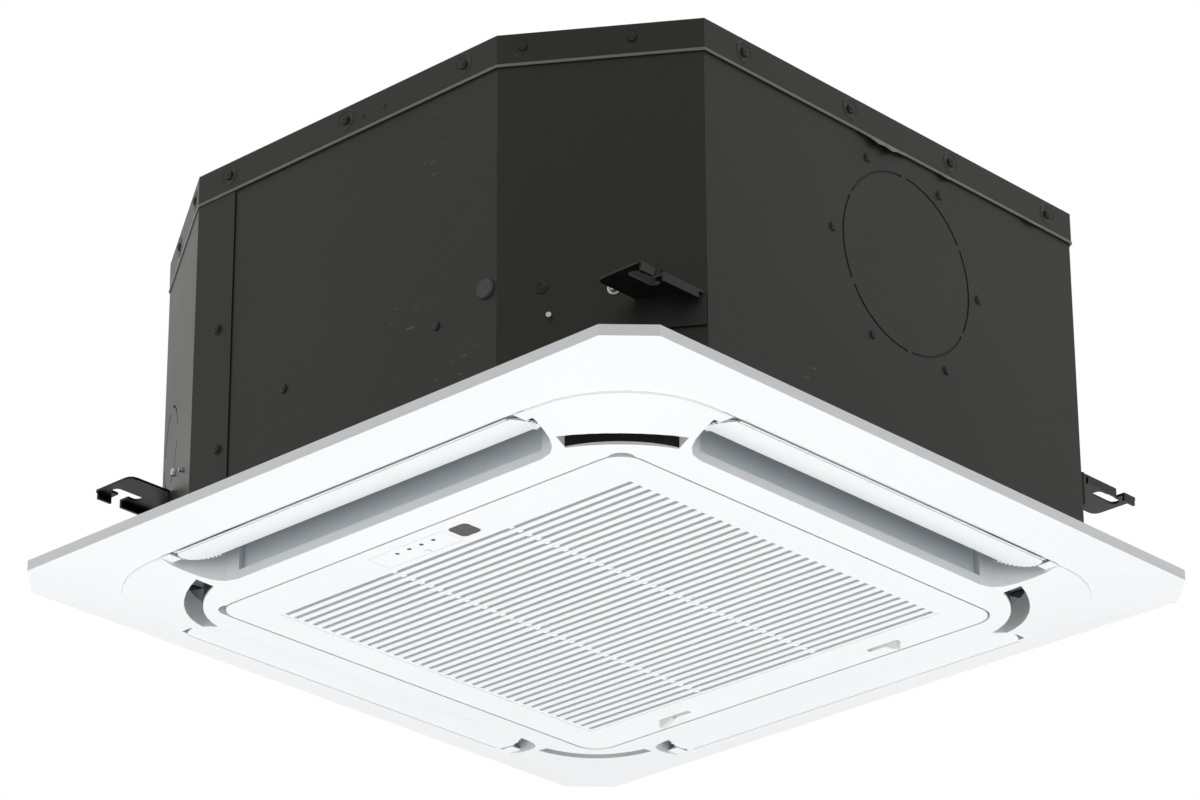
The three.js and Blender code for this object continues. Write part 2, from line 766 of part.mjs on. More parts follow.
// A stepper with a flat gear case whose lower end takes the flap's pin.
function flapMotor() {
  const start = OUTLET_HALF + SKIN + GAP;
  const y = -FLAP_AXIS + FLAP_MOTOR_INSET;
  const z = FLAP_AXIS_Z + FLAP_MOTOR_RISE;
  const radius = FLAP_MOTOR_DIAMETER / 2;
  const reach = Math.hypot(FLAP_MOTOR_INSET, FLAP_MOTOR_RISE);
  const middle = Math.atan2(FLAP_MOTOR_RISE, FLAP_MOTOR_INSET);
  const lean = Math.acos((radius - GEAR_CASE_RADIUS) / reach);
  const shape = new THREE.Shape();
  shape.absarc(y, z, radius, middle - Math.PI + lean, middle + Math.PI - lean, false);
  shape.absarc(-FLAP_AXIS, FLAP_AXIS_Z, GEAR_CASE_RADIUS, middle + Math.PI - lean,
    middle + Math.PI + lean, false);
  const end = start + GEAR_CASE + FLAP_MOTOR_LENGTH;
  return cut(
    join(
      prismAlongX(shape, start, start + GEAR_CASE, 4),
      rod(FLAP_MOTOR_DIAMETER, [start + 1, y, z], [end, y, z]),
    ),
    rod(FLAP_BORE, [start - 1, -FLAP_AXIS, FLAP_AXIS_Z],
      [start + GEAR_CASE + 1, -FLAP_AXIS, FLAP_AXIS_Z], 10),
  );
}

sides.forEach((side, index) => {
  const turn = (index * Math.PI) / 2;
  add("flap_" + side, flap(), "white").rotation.z = turn;
  add("flap_motor_" + side, flapMotor(), "offWhite").rotation.z = turn;
});

// ---- Intake grille, filter, latches and display ----

const grilleHalf = OPENING_HALF - GRILLE_EDGE_GAP;
const grilleRadius = OPENING_RADIUS - GRILLE_EDGE_GAP;
const grilleInner = FACE_Z + GRILLE_SKIN;
const louvreEnd = LOUVRE_START + (LOUVRE_COUNT - 1) * LOUVRE_PITCH + LOUVRE_SLOT;

function hingeLugs(x) {
  const lug = (from) =>
    box(
      from,
      from + HINGE_LUG,
      hingeY - HINGE_EYE,
      hingeY + HINGE_EYE,
      grilleInner - 0.5,
      hingeZ + HINGE_EYE,
    );
  const out = HINGE_ARM_WIDTH / 2 + RUN;
  return join(
    lug(x + out),
    lug(x - out - HINGE_LUG),
    rod(HINGE_PIN, [x - out - 1, hingeY, hingeZ], [x + out + 1, hingeY, hingeZ], 16),
  );
}

const boardPosts = [DISPLAY_X - DISPLAY_LENGTH / 2 - 3.5, WINDOW_X + WINDOW_SIDE / 2 + 3.5].flatMap(
  (x) => [[x, DISPLAY_Y - DISPLAY_WIDTH / 2 - 1], [x, DISPLAY_Y + DISPLAY_WIDTH / 2 - 1]],
);
const POST_DIAMETER = 4;
const POST_HEIGHT = 1.8;

function latchGuides(x) {
  const out = LATCH_PLATE_WIDTH / 2 + RUN;
  return [-1, 1].map((side) => {
    const y = LATCH_Y + side * (out + 0.75);
    return box(x - 28, x + 28, y - 0.75, y + 0.75, grilleInner - 0.5, grilleInner + LATCH_PLATE);
  });
}

function intakeGrille() {
  const rim = FACE_Z + GRILLE_RIM_HEIGHT;
  const inner = grilleHalf - GRILLE_RIM_WALL;
  const start = LOUVRE_START - LOUVRE_BORDER;
  const end = louvreEnd + LOUVRE_BORDER;
  const side = LOUVRE_HALF + LOUVRE_BORDER;
  const edge = LOUVRE_BORDER / 2;
  const slots = Array.from({ length: LOUVRE_COUNT }, (_, i) => {
    const y = LOUVRE_START + i * LOUVRE_PITCH;
    return box(-LOUVRE_HALF, LOUVRE_HALF, y, y + LOUVRE_SLOT, FACE_Z - 1, FACE_Z + 20);
  });
  const bridges = [-BRIDGE_X, BRIDGE_X].map((x) =>
    box(
      x - BRIDGE_WIDTH / 2,
      x + BRIDGE_WIDTH / 2,
      LOUVRE_START - 1,
      louvreEnd + 1,
      FACE_Z + LOUVRE_DEPTH,
      FACE_Z + LOUVRE_DEPTH + BRIDGE_DEPTH,
    ),
  );
  const plate = cut(
    join(
      cut(
        prism(roundSquare(grilleHalf, grilleRadius), FACE_Z, rim),
        prism(roundSquare(inner, grilleRadius - GRILLE_RIM_WALL), grilleInner, rim + 1),
      ),
      box(-side, side, start, end, FACE_Z + 0.5, FACE_Z + LOUVRE_DEPTH),
    ),
    box(
      -side + edge, side - edge, start + edge, end - edge, FACE_Z - 1, FACE_Z + LOUVRE_RECESS,
    ),
    ...slots,
  );
  const notches = [-HINGE_X, HINGE_X].map((x) => {
    const half = HINGE_ARM_WIDTH / 2 + 2;
    return box(x - half, x + half, -grilleHalf - 1, -inner + 1, grilleInner, rim + 1);
  });
  const latchSlots = [-LATCH_X, LATCH_X].map((x) =>
    prism(
      roundRectangle(x, LATCH_Y, LATCH_SLOT_LENGTH, LATCH_SLOT_WIDTH, 0.6),
      FACE_Z - 1,
      grilleInner + 1,
      4,
    ),
  );
  return cut(
    join(
      plate,
      ...bridges,
      hingeLugs(-HINGE_X),
      hingeLugs(HINGE_X),
      ...latchGuides(-LATCH_X),
      ...latchGuides(LATCH_X),
      ...boardPosts.map(([x, y]) =>
        rod(POST_DIAMETER, [x, y, grilleInner - 0.5], [x, y, grilleInner + POST_HEIGHT], 12),
      ),
    ),
    ...notches,
    ...latchSlots,
    prism(displayShape(GAP), FACE_Z - 1, grilleInner + 1),
    prism(windowShape(GAP), FACE_Z - 1, grilleInner + 1),
  );
}

function displayShape(grow) {
  return roundRectangle(
    DISPLAY_X, DISPLAY_Y, DISPLAY_LENGTH + 2 * grow, DISPLAY_WIDTH + 2 * grow, 2 + grow,
  );
}

function windowShape(grow) {
  const side = WINDOW_SIDE + 2 * grow;
  return roundRectangle(WINDOW_X, WINDOW_Y, side, side, WINDOW_RADIUS + grow);
}

const lightPlaces = Array.from({ length: LIGHT_COUNT }, (_, i) => LIGHT_FIRST_X + i * LIGHT_PITCH);

function displayCover() {
  return cut(
    prism(displayShape(0), FACE_Z, grilleInner),
    ...lightPlaces.map((x) =>
      rod(LIGHT_DIAMETER, [x, LIGHT_Y, FACE_Z - 1], [x, LIGHT_Y, grilleInner + 1], 12),
    ),
    rod(
      BUTTON_DIAMETER + 2 * GAP,
      [BUTTON_X, BUTTON_Y, FACE_Z - 1],
      [BUTTON_X, BUTTON_Y, grilleInner + 1],
      20,
    ),
  );
}

const lightBack = grilleInner + GAP;
const boardZ = grilleInner + POST_HEIGHT + GAP;

function lightPipe() {
  const pegs = lightPlaces.map((x) =>
    rod(LIGHT_DIAMETER - 2 * GAP, [x, LIGHT_Y, FACE_Z + 0.1], [x, LIGHT_Y, lightBack + 0.5], 12),
  );
  const ends = [lightPlaces[0] - 4, lightPlaces.at(-1) + 4];
  return join(box(ends[0], ends[1], LIGHT_Y - 3, LIGHT_Y + 3, lightBack, boardZ - GAP), ...pegs);
}

function displayButton() {
  const top = boardZ - BUTTON_TRAVEL - 0.2;
  return join(
    rod(BUTTON_DIAMETER, [BUTTON_X, BUTTON_Y, FACE_Z - 0.4], [BUTTON_X, BUTTON_Y, top], 20),
    rod(BUTTON_DIAMETER + 3, [BUTTON_X, BUTTON_Y, lightBack], [BUTTON_X, BUTTON_Y, top], 20),
  );
}

function displayBoard() {
  const [[left, near], , [right]] = boardPosts;
  const far = boardPosts[1][1] + POST_DIAMETER / 2;
  return box(left - 3, right + 3, near - 3, far, boardZ, boardZ + BOARD);
}

// The right-hand latch: a plate behind the grille's skin and a ramped knob through the slot.
function latch() {
  const outer = LATCH_X + LATCH_SLOT_LENGTH / 2 - RUN;
  const inner = outer - LATCH_KNOB_LENGTH;
  const low = grilleInner + GAP;
  const width = LATCH_SLOT_WIDTH - 2 * GAP;
  const knob = polygon([
    [inner, FACE_Z - LATCH_KNOB_THIN],
    [outer - 1, FACE_Z - LATCH_KNOB_DROP],
    [outer, FACE_Z - LATCH_KNOB_DROP + 1],
    [outer, low + 1],
    [inner, low + 1],
  ]);
  const middle = outer - LATCH_KNOB_LENGTH / 2;
  const half = LATCH_PLATE_LENGTH / 2;
  return join(
    prismAlongY(knob, LATCH_Y - width / 2, LATCH_Y + width / 2),
    box(
      middle - half,
      middle + half,
      LATCH_Y - LATCH_PLATE_WIDTH / 2,
      LATCH_Y + LATCH_PLATE_WIDTH / 2,
      low,
      low + LATCH_PLATE,
    ),
  );
}

// A frame with crossed ribs that lies on the grille's bridges.
function airFilter() {
  const bottom = FACE_Z + LOUVRE_DEPTH + BRIDGE_DEPTH + GAP;
  const top = bottom + FILTER_THICKNESS;
  const inner = FILTER_HALF - FILTER_FRAME;
  const pitch = (2 * inner + FILTER_RIB) / FILTER_CELLS;
  const cell = pitch - FILTER_RIB;
  const holes = [];
  for (let i = 0; i < FILTER_CELLS; i++) {
    for (let j = 0; j < FILTER_CELLS; j++) {
      const x = -inner + i * pitch;
      const y = -inner + j * pitch;
      holes.push(box(x, x + cell, y, y + cell, bottom - 1, top + 1));
    }
  }
  return cut(prism(roundSquare(FILTER_HALF, 6), bottom, top, 4), ...holes);
}

add("intake_grille", intakeGrille(), "white");
add("air_filter", airFilter(), "dark");
add("latch_right", latch(), "offWhite");
add("latch_left", mirrored(latch(), -1, 1), "offWhite");
add("display_cover", displayCover(), "white");
add("receiver_window", prism(windowShape(0), FACE_Z, grilleInner - GAP), "smoke");
add("light_pipe", lightPipe(), "offWhite");
add("display_button", displayButton(), "white");
add("display_board", displayBoard(), "board");

screwPlaces.forEach(([x, y], index) => {
  const head = OPENING_WALL_TOP - SCREW_TAB - GAP;
  add(
    "panel_screw_" + (index + 1),
    join(
      rod(SCREW_DIAMETER * 1.8, [x, y, head - 2], [x, y, head], 16),
      rod(SCREW_DIAMETER, [x, y, head - 1], [x, y, PAN_FLOOR - 3], 12),
    ),
    "steel",
  );
});

// ---- Body ----

const chamfers = {
  front: { run: BODY_HALF - FRONT_CORNER_X, rise: BODY_HALF - FRONT_CORNER_Y },
  rear: { run: BODY_HALF - REAR_CORNER_X, rise: BODY_HALF - REAR_CORNER_Y },
};

// The two ends of a corner's sloping face, moved in by inset, in the (+X, +Y) quarter.
function chamferEnds({ run, rise }, inset) {
  const length = Math.hypot(run, rise);
  const half = BODY_HALF - inset;
  return [
    [BODY_HALF - run - (inset * (length - run)) / rise, half],
    [half, BODY_HALF - rise - (inset * (length - rise)) / run],
  ];
}

// The body's eight-sided outline, moved in by inset.
function octagon(inset) {
  const [frontFace, frontSide] = chamferEnds(chamfers.front, inset);
  const [rearFace, rearSide] = chamferEnds(chamfers.rear, inset);
  return polygon([
    [-frontFace[0], -frontFace[1]],
    [frontFace[0], -frontFace[1]],
    [frontSide[0], -frontSide[1]],
    rearSide,
    rearFace,
    [-rearFace[0], rearFace[1]],
    [-rearSide[0], rearSide[1]],
    [-frontSide[0], -frontSide[1]],
  ]);
}

function octagonWall(outer, inner, z0, z1) {
  return cut(prism(octagon(outer), z0, z1), prism(octagon(inner), z0 - 1, z1 + 1));
}

const plateUnderside = BODY_TOP - TOP_SHEET;
const casingInset = TOP_SHEET + GAP;
const linerInset = casingInset + SHEET + GAP;
const panInset = linerInset + LINER + GAP;
const panBottom = BODY_BOTTOM + SHEET + GAP;

// A place on a corner's sloping face: distance along it from its side-face end, and height.
function onChamfer(chamfer, inset, along, z, signX, signY) {
  const [face, side] = chamferEnds(chamfer, inset);
  const length = Math.hypot(face[0] - side[0], face[1] - side[1]);
  const t = along / length;
  return [
    signX * (side[0] + t * (face[0] - side[0])),
    signY * (side[1] + t * (face[1] - side[1])),
    z,
  ];
}

function chamferNormal({ run, rise }, signX, signY) {
  const length = Math.hypot(run, rise);
  return [(signX * rise) / length, (signY * run) / length, 0];
}

// A round hole through a corner's sloping face.
function chamferHole(chamfer, along, z, signX, signY, diameter, segments = 24) {
  const place = new THREE.Vector3(...onChamfer(chamfer, casingInset, along, z, signX, signY));
  const out = new THREE.Vector3(...chamferNormal(chamfer, signX, signY)).multiplyScalar(5);
  return rod(diameter, place.clone().sub(out).toArray(), place.clone().add(out).toArray(), segments);
}

function topPlate() {
  return cut(
    prism(octagon(0), BODY_TOP - FLANGE_HEIGHT, BODY_TOP),
    prism(octagon(TOP_SHEET), BODY_TOP - FLANGE_HEIGHT - 1, plateUnderside),
  );
}

// The slits of the large round knock-out on the +X face.
function knockoutCuts() {
  const outer = KNOCKOUT_DIAMETER / 2;
  const inner = outer - KNOCKOUT_SLIT;
  const half = THREE.MathUtils.degToRad(KNOCKOUT_ARC / 2);
  const cuts = [];
  for (let i = 0; i < KNOCKOUT_SLITS; i++) {
    const middle = (2 * Math.PI * i) / KNOCKOUT_SLITS;
    const slit = new THREE.Shape();
    slit.absarc(KNOCKOUT_Y, KNOCKOUT_Z, outer, middle - half, middle + half, false);
    slit.absarc(KNOCKOUT_Y, KNOCKOUT_Z, inner, middle + half, middle - half, true);
    cuts.push(prismAlongX(slit, BODY_HALF - 10, BODY_HALF + 1, 4));
    const y = KNOCKOUT_Y + (KNOCKOUT_SCREW_CIRCLE / 2) * Math.cos(middle);
    const z = KNOCKOUT_Z + (KNOCKOUT_SCREW_CIRCLE / 2) * Math.sin(middle);
    cuts.push(rod(KNOCKOUT_SCREW_HOLE, [BODY_HALF - 10, y, z], [BODY_HALF + 1, y, z], 10));
  }
  return cuts;
}

const pipeHoles = [
  [GAS_PIPE + 14, GAS_Y, GAS_Z],
  [LIQUID_PIPE + 12, LIQUID_Y, LIQUID_Z],
  [DRAIN_PIPE + 6, DRAIN_Y, DRAIN_Z],
].map(([diameter, y, z]) => rod(diameter, [-BODY_HALF - 5, y, z], [-BODY_HALF + 25, y, z], 20));

const CASING_TOP = plateUnderside - GAP;

function casingShell() {
  const lip = cut(
    prism(octagon(casingInset), BODY_BOTTOM, BODY_BOTTOM + SHEET),
    prism(octagon(casingInset + CASING_LIP), BODY_BOTTOM - 1, BODY_BOTTOM + SHEET + 1),
  );
  const plug = [PLUG_X, -BODY_HALF - 5, PLUG_Z];
  return cut(
    join(octagonWall(casingInset, casingInset + SHEET, BODY_BOTTOM, CASING_TOP), lip),
    ...knockoutCuts(),
    ...pipeHoles,
    rod(PLUG_DIAMETER - 3, plug, [PLUG_X, -BODY_HALF + 8, PLUG_Z], 20),
    chamferHole(
      chamfers.front, CHAMFER_PLUG_ALONG, CHAMFER_PLUG_Z, 1, -1, CHAMFER_PLUG_HOLE, 16,
    ),
  );
}

// The plate over the piping corner, from the seam on the -Y face round to the -X face.
function pipeCover() {
  const outer = casingInset - GAP - COVER_SHEET;
  const top = BODY_TOP - FLANGE_HEIGHT - GAP;
  const band = octagonWall(outer, casingInset - GAP, COVER_BOTTOM, top);
  const corner = box(-BODY_HALF - 5, COVER_SEAM_X, -BODY_HALF - 5, COVER_REAR_Y, 0, BODY_TOP);
  const chamfer = chamfers.front;
  const length = Math.hypot(chamfer.run, chamfer.rise);
  const radius = SMALL_KNOCKOUT_DIAMETER / 2;
  const angle = Math.atan2(-chamfer.rise, chamfer.run);
  const slits = [0, 1, 2, 3].map((i) => {
    const ends = [0.12, 0.88].map((t) => ((i + t) * Math.PI) / 2);
    const slit = new THREE.Shape();
    slit.absarc(0, 0, radius, ends[0], ends[1], false);
    slit.absarc(0, 0, radius - KNOCKOUT_SLIT, ends[1], ends[0], true);
    const place = onChamfer(chamfer, 0, length - SMALL_KNOCKOUT_ALONG, 0, -1, -1);
    const tool = turned(prismAlongY(slit, -6, 6, 3), THREE.MathUtils.radToDeg(angle));
    return shifted(tool, place[0], place[1], SMALL_KNOCKOUT_Z);
  });
  return cut(band.intersect(corner), ...pipeHoles, ...slits);
}

add("top_plate", topPlate(), "casing");
add("casing_shell", casingShell(), "casing");
add("pipe_cover_plate", pipeCover(), "casing");

// ---- Plugs in the casing ----

function plug(diameter, hole) {
  return turnedProfile([
    [0, 0],
    [hole / 2 - GAP, 0],
    [hole / 2 - GAP, SHEET + GAP],
    [diameter / 2, SHEET + GAP],
    [diameter / 2 - 1, SHEET + 2.2],
    [0, SHEET + 2.2],
  ], 20);
}

const sidePlug = add("casing_plug", plug(PLUG_DIAMETER, PLUG_DIAMETER - 3), "dark");
sidePlug.rotation.x = Math.PI / 2;
sidePlug.position.set(PLUG_X, -BODY_HALF + casingInset + SHEET, PLUG_Z);

// ---- Hanging brackets ----

function hangingBracket(name, signX, signY) {
  const front = signY < 0;
  const chamfer = front ? chamfers.front : chamfers.rear;
  const covered = front && signX < 0;
  const wall = covered ? 0 : casingInset - GAP;
  const slotY = front ? BRACKET_FRONT_Y : BRACKET_REAR_Y;
  const outerX = BODY_HALF - BRACKET_SHEET;
  const [face, side] = chamferEnds(chamfer, wall);
  const slope = (face[1] - side[1]) / (face[0] - side[0]);
  const wallY = (x) => side[1] + (x - side[0]) * slope;
  const end = slotY + BRACKET_END;
  const plate = new THREE.Shape();
  plate.moveTo(BRACKET_INNER_X, wallY(BRACKET_INNER_X));
  plate.lineTo(outerX, wallY(outerX));
  plate.lineTo(outerX, end - 2);
  plate.quadraticCurveTo(outerX, end, outerX - 2, end);
  plate.lineTo(BRACKET_INNER_X + BRACKET_CORNER, end);
  plate.quadraticCurveTo(BRACKET_INNER_X, end, BRACKET_INNER_X, end - BRACKET_CORNER);
  plate.closePath();
  const [nx, ny] = chamferNormal(chamfer, 1, 1);
  const tab = polygon([
    [BRACKET_INNER_X, wallY(BRACKET_INNER_X)],
    [outerX, wallY(outerX)],
    [outerX + nx * BRACKET_SHEET, wallY(outerX) + ny * BRACKET_SHEET],
    [BRACKET_INNER_X + nx * BRACKET_SHEET, wallY(BRACKET_INNER_X) + ny * BRACKET_SHEET],
  ]);
  const top = BRACKET_Z + BRACKET_SHEET;
  const entrance = BRACKET_ENTRANCE / 2;
  const lip = (y0, y1) =>
    box(outerX - BRACKET_SHEET, outerX, y0, y1, BRACKET_Z - BRACKET_LIP, BRACKET_Z + 0.5);
  const lipStart = wallY(outerX) + 8;
  const body = cut(
    join(
      prism(plate, BRACKET_Z, top),
      prism(tab, BRACKET_Z - BRACKET_TAB, top),
      lip(lipStart, slotY - entrance),
      lip(slotY + entrance, end - 2),
    ),
    prism(
      roundRectangle(BRACKET_SLOT_X, slotY, BRACKET_SLOT_WIDTH, BRACKET_SLOT_LENGTH, 4),
      BRACKET_Z - 1,
      top + 1,
    ),
    box(BRACKET_SLOT_X, outerX + 1, slotY - entrance, slotY + entrance, BRACKET_Z - 10, top + 1),
  );
  add(name, mirrored(body, signX, signY), "bracket");
}

hangingBracket("hanging_bracket_front_right", 1, -1);
hangingBracket("hanging_bracket_front_left", -1, -1);
hangingBracket("hanging_bracket_rear_right", 1, 1);
hangingBracket("hanging_bracket_rear_left", -1, 1);

// ---- Gasket, liner and drain pan ----

const ductCuts = (z0, z1) =>
  onFourSides(box(-DUCT_HALF, DUCT_HALF, -DUCT_OUTER - 1, -DUCT_INNER, z0, z1));

function panelGasket() {
  const outer = casingInset - 1;
  return octagonWall(outer, panInset - 1, DUCT_TOP + GAP, BODY_BOTTOM - GAP);
}

function foamLiner() {
  return cut(
    octagonWall(linerInset, linerInset + LINER, panBottom, MOTOR_TOP),
    ...pipeHoles,
  );
}

const drainPlace = [-COIL_HALF + COIL_DEPTH / 2, -DRAIN_PLUG_Y];

function trough(half, radius, z0) {
  return prism(roundSquare(half, radius), z0, PAN_TOP + 1);
}

function drainPan() {
  const outer = COIL_HALF + TROUGH_MARGIN;
  const inner = COIL_HALF - COIL_DEPTH - TROUGH_MARGIN;
  const channel = cut(
    trough(outer, COIL_CORNER + TROUGH_MARGIN, PAN_FLOOR),
    trough(inner, COIL_CORNER - COIL_DEPTH, PAN_FLOOR - 1),
  );
  return cut(
    prism(octagon(panInset), panBottom, PAN_TOP),
    ductCuts(panBottom - 1, PAN_TOP + 1),
    rod(2 * BELL_SEAT_RADIUS, [0, 0, panBottom - 1], [0, 0, PAN_TOP + 1], 32),
    channel,
    rod(DRAIN_PLUG_DIAMETER + 2 * GAP, [...drainPlace, panBottom - 1], [...drainPlace, PAN_FLOOR + 1], 16),
    ...screwPlaces.map(([x, y]) => rod(screwBore, [x, y, panBottom - 1], [x, y, PAN_FLOOR - 2], 12)),
  );
}

function drainPlug() {
  const profile = turnedProfile([
    [0, panBottom - 3],
    [DRAIN_PLUG_DIAMETER / 2 + 3, panBottom - 3],
    [DRAIN_PLUG_DIAMETER / 2 + 3, panBottom - GAP],
    [DRAIN_PLUG_DIAMETER / 2, panBottom - GAP],
    [DRAIN_PLUG_DIAMETER / 2, PAN_FLOOR - 1],
    [0, PAN_FLOOR - 1],
  ], 16);
  return shifted(profile, ...drainPlace, 0);
}

add("panel_gasket", panelGasket(), "dark");
add("foam_liner", foamLiner(), "foam");
add("drain_pan", drainPan(), "foam");
add("drain_plug", drainPlug(), "dark");

// ---- Heat exchanger and its pipes ----

function coil() {
  const ringWall = cut(
    prism(roundSquare(COIL_HALF, COIL_CORNER), COIL_BOTTOM, COIL_TOP),
    prism(
      roundSquare(COIL_HALF - COIL_DEPTH, COIL_CORNER - COIL_DEPTH),
      COIL_BOTTOM - 1,
      COIL_TOP + 1,
    ),
  );
  const far = COIL_HALF + 5;
  return cut(ringWall, box(-far, -COIL_END, -far, -COIL_END, COIL_BOTTOM - 1, COIL_TOP + 1));
}

const coilMiddle = COIL_HALF - COIL_DEPTH / 2;
const endPlateOut = COIL_END + GAP + END_PLATE;

function endPlate() {
  return box(
    -endPlateOut,
    -COIL_END - GAP,
    -COIL_HALF + 0.5,
    -COIL_HALF + COIL_DEPTH - 0.5,
    COIL_BOTTOM,
    COIL_TOP,
  );
}

const swapXY = new THREE.Matrix4().set(0, 1, 0, 0, 1, 0, 0, 0, 0, 0, 1, 0, 0, 0, 0, 1);
const headerX = -endPlateOut - HEADER_OFFSET;

const headerTop = HEADER_BOTTOM + (HEADER_STUBS - 1) * HEADER_PITCH + 1.5 * HEADER_END;

function header() {
  const stubs = Array.from({ length: HEADER_STUBS }, (_, i) => {
    const z = HEADER_BOTTOM + HEADER_END + i * HEADER_PITCH;
    return rod(HEADER_STUB, [headerX, -coilMiddle, z], [-endPlateOut - GAP, -coilMiddle, z], 12);
  });
  return join(
    rod(GAS_PIPE, [headerX, -coilMiddle, HEADER_BOTTOM], [headerX, -coilMiddle, headerTop]),
    ...stubs,
  );
}

const pipeEnd = PIPE_EXIT_X;
const gasStartY = -coilMiddle + GAS_PIPE / 2 + GAP;

function gasPipe() {
  return tube(GAS_PIPE, [
    [headerX, gasStartY, GAS_Z],
    [headerX, gasStartY + 10, GAS_Z],
    [headerX - 8, GAS_Y - 3, GAS_Z],
    [headerX - 24, GAS_Y, GAS_Z],
    [-COIL_HALF, GAS_Y, GAS_Z],
    [-BODY_HALF, GAS_Y, GAS_Z],
    [pipeEnd, GAS_Y, GAS_Z],
  ], 20);
}

function liquidPipe() {
  return tube(LIQUID_PIPE, [
    [-coilMiddle, -endPlateOut - GAP, LIQUID_Z],
    [-coilMiddle, -endPlateOut - 3, LIQUID_Z],
    [-coilMiddle - 2, -endPlateOut - 8, LIQUID_Z],
    [-coilMiddle - 14, LIQUID_Y, LIQUID_Z],
    [-BODY_HALF + 20, LIQUID_Y, LIQUID_Z],
    [pipeEnd, LIQUID_Y, LIQUID_Z],
  ], 20, 8);
}

// A six-sided nut with a round bore, along X from its outer end.
function pipeNut(bore, { flats, length }, y, z) {
  const corner = flats / Math.sqrt(3);
  const shape = new THREE.Shape();
  for (let i = 0; i < 6; i++) {
    const angle = ((i + 0.5) * Math.PI) / 3;
    const [a, b] = [y + corner * Math.cos(angle), z + corner * Math.sin(angle)];
    if (i === 0) shape.moveTo(a, b);
    else shape.lineTo(a, b);
  }
  shape.closePath();
  return cut(
    prismAlongX(shape, pipeEnd + 2, pipeEnd + 2 + length),
    rod(bore + 2 * GAP, [pipeEnd, y, z], [pipeEnd + length + 5, y, z], 16),
  );
}

add("evaporator_coil", coil(), "fins");
add("coil_end_plate_front", endPlate(), "steel");
add("coil_end_plate_left", placed(endPlate(), swapXY), "steel");
add("header_pipe", header(), "copper");
add("gas_pipe", gasPipe(), "copper");
add("liquid_pipe", liquidPipe(), "copper");
add("gas_flare_nut", pipeNut(GAS_PIPE, GAS_NUT, GAS_Y, GAS_Z), "brass");
add("liquid_flare_nut", pipeNut(LIQUID_PIPE, LIQUID_NUT, LIQUID_Y, LIQUID_Z), "brass");

// ---- Drain pump, float switch and drain outlet ----

const bracketZ = PAN_TOP + GAP + PUMP_BRACKET_RISE;
const pumpZ = bracketZ + PUMP_BRACKET + GAP;
const pumpTop = pumpZ + PUMP_HEIGHT;

function drainPump() {
  const housing = turnedProfile([
      [0, pumpZ],
      [PUMP_DIAMETER / 2, pumpZ],
      [PUMP_DIAMETER / 2, pumpZ + 18],
      [PUMP_DIAMETER / 2 - 5, pumpZ + 22],
      [PUMP_DIAMETER / 2 - 5, pumpTop],
      [0, pumpTop],
    ], 24);
  return join(
    shifted(housing, -PUMP_AT, -PUMP_AT, 0),
    rod(10, [-PUMP_AT, -PUMP_AT, PAN_FLOOR + 4], [-PUMP_AT, -PUMP_AT, pumpZ + 1], 12),
  );
}

// A plate on two legs: its long axis points out to the corner, and its wide end holds the float.
function pumpBracket() {
  const outline = polygon([
    [-PUMP_PLATE_TAIL, -PUMP_PLATE_TIP],
    [-PUMP_DIAMETER / 4, -PUMP_PLATE_HALF],
    [PUMP_PLATE_HEAD, -PUMP_PLATE_HALF],
    [PUMP_PLATE_HEAD, PUMP_PLATE_WING],
    [PUMP_PLATE_HEAD - PUMP_PLATE_WING_LENGTH, PUMP_PLATE_WING],
    [-PUMP_PLATE_TAIL, PUMP_PLATE_TIP],
  ]);
  const plate = turned(prism(outline, bracketZ, bracketZ + PUMP_BRACKET), 45);
  const legs = [PUMP_AT + PUMP_LEG_OUT, PUMP_AT - PUMP_LEG_IN].map((at) =>
    rod(PUMP_LEG, [-at, -at, PAN_TOP + GAP], [-at, -at, bracketZ + 0.5], 12),
  );
  return cut(
    join(shifted(plate, -PUMP_AT, -PUMP_AT, 0), ...legs),
    rod(12, [-PUMP_AT, -PUMP_AT, bracketZ - 1], [-PUMP_AT, -PUMP_AT, bracketZ + 5], 16),
    rod(FLOAT_STEM + 2 * GAP, [...floatPlace, bracketZ - 1], [...floatPlace, bracketZ + 5], 12),
  );
}

const floatPlace = [-PUMP_AT - FLOAT_ASIDE, -PUMP_AT + FLOAT_ALONG];
const collarTop = PAN_FLOOR + 3.5;
const floatTop = bracketZ - RUN - FLOAT_TRAVEL;

function floatSwitch() {
  const head = bracketZ + PUMP_BRACKET + GAP;
  return join(
    rod(FLOAT_STEM, [...floatPlace, PAN_FLOOR + 1], [...floatPlace, head + 1], 12),
    rod(FLOAT_STEM + 4, [...floatPlace, PAN_FLOOR + 1], [...floatPlace, collarTop], 12),
    rod(FLOAT_STEM + 7, [...floatPlace, head], [...floatPlace, head + 4], 12),
  );
}

function floatRing() {
  return cut(
    rod(FLOAT_DIAMETER, [...floatPlace, collarTop + GAP], [...floatPlace, floatTop], 20),
    rod(FLOAT_STEM + 2 * RUN, [...floatPlace, collarTop], [...floatPlace, floatTop + 1], 12),
  );
}

function drainOutlet() {
  const stub = -BODY_HALF + 10;
  return join(
    tube(16, [
      [-PUMP_AT, -PUMP_AT, pumpTop + GAP],
      [-PUMP_AT, -PUMP_AT, pumpTop + 10],
      [-PUMP_AT, -PUMP_AT, DRAIN_Z - 30],
      [-PUMP_AT - 8, -PUMP_AT + 2, DRAIN_Z - 8],
      [-PUMP_AT - 24, -PUMP_AT + 12, DRAIN_Z],
      [DRAIN_TURN_X, DRAIN_Y - 22, DRAIN_Z],
      [DRAIN_TURN_X - 10, DRAIN_Y - 6, DRAIN_Z],
      [stub - 8, DRAIN_Y, DRAIN_Z],
    ], 22, 10),
    rod(DRAIN_PIPE, [stub, DRAIN_Y, DRAIN_Z], [PIPE_EXIT_X + 6, DRAIN_Y, DRAIN_Z]),
  );
}

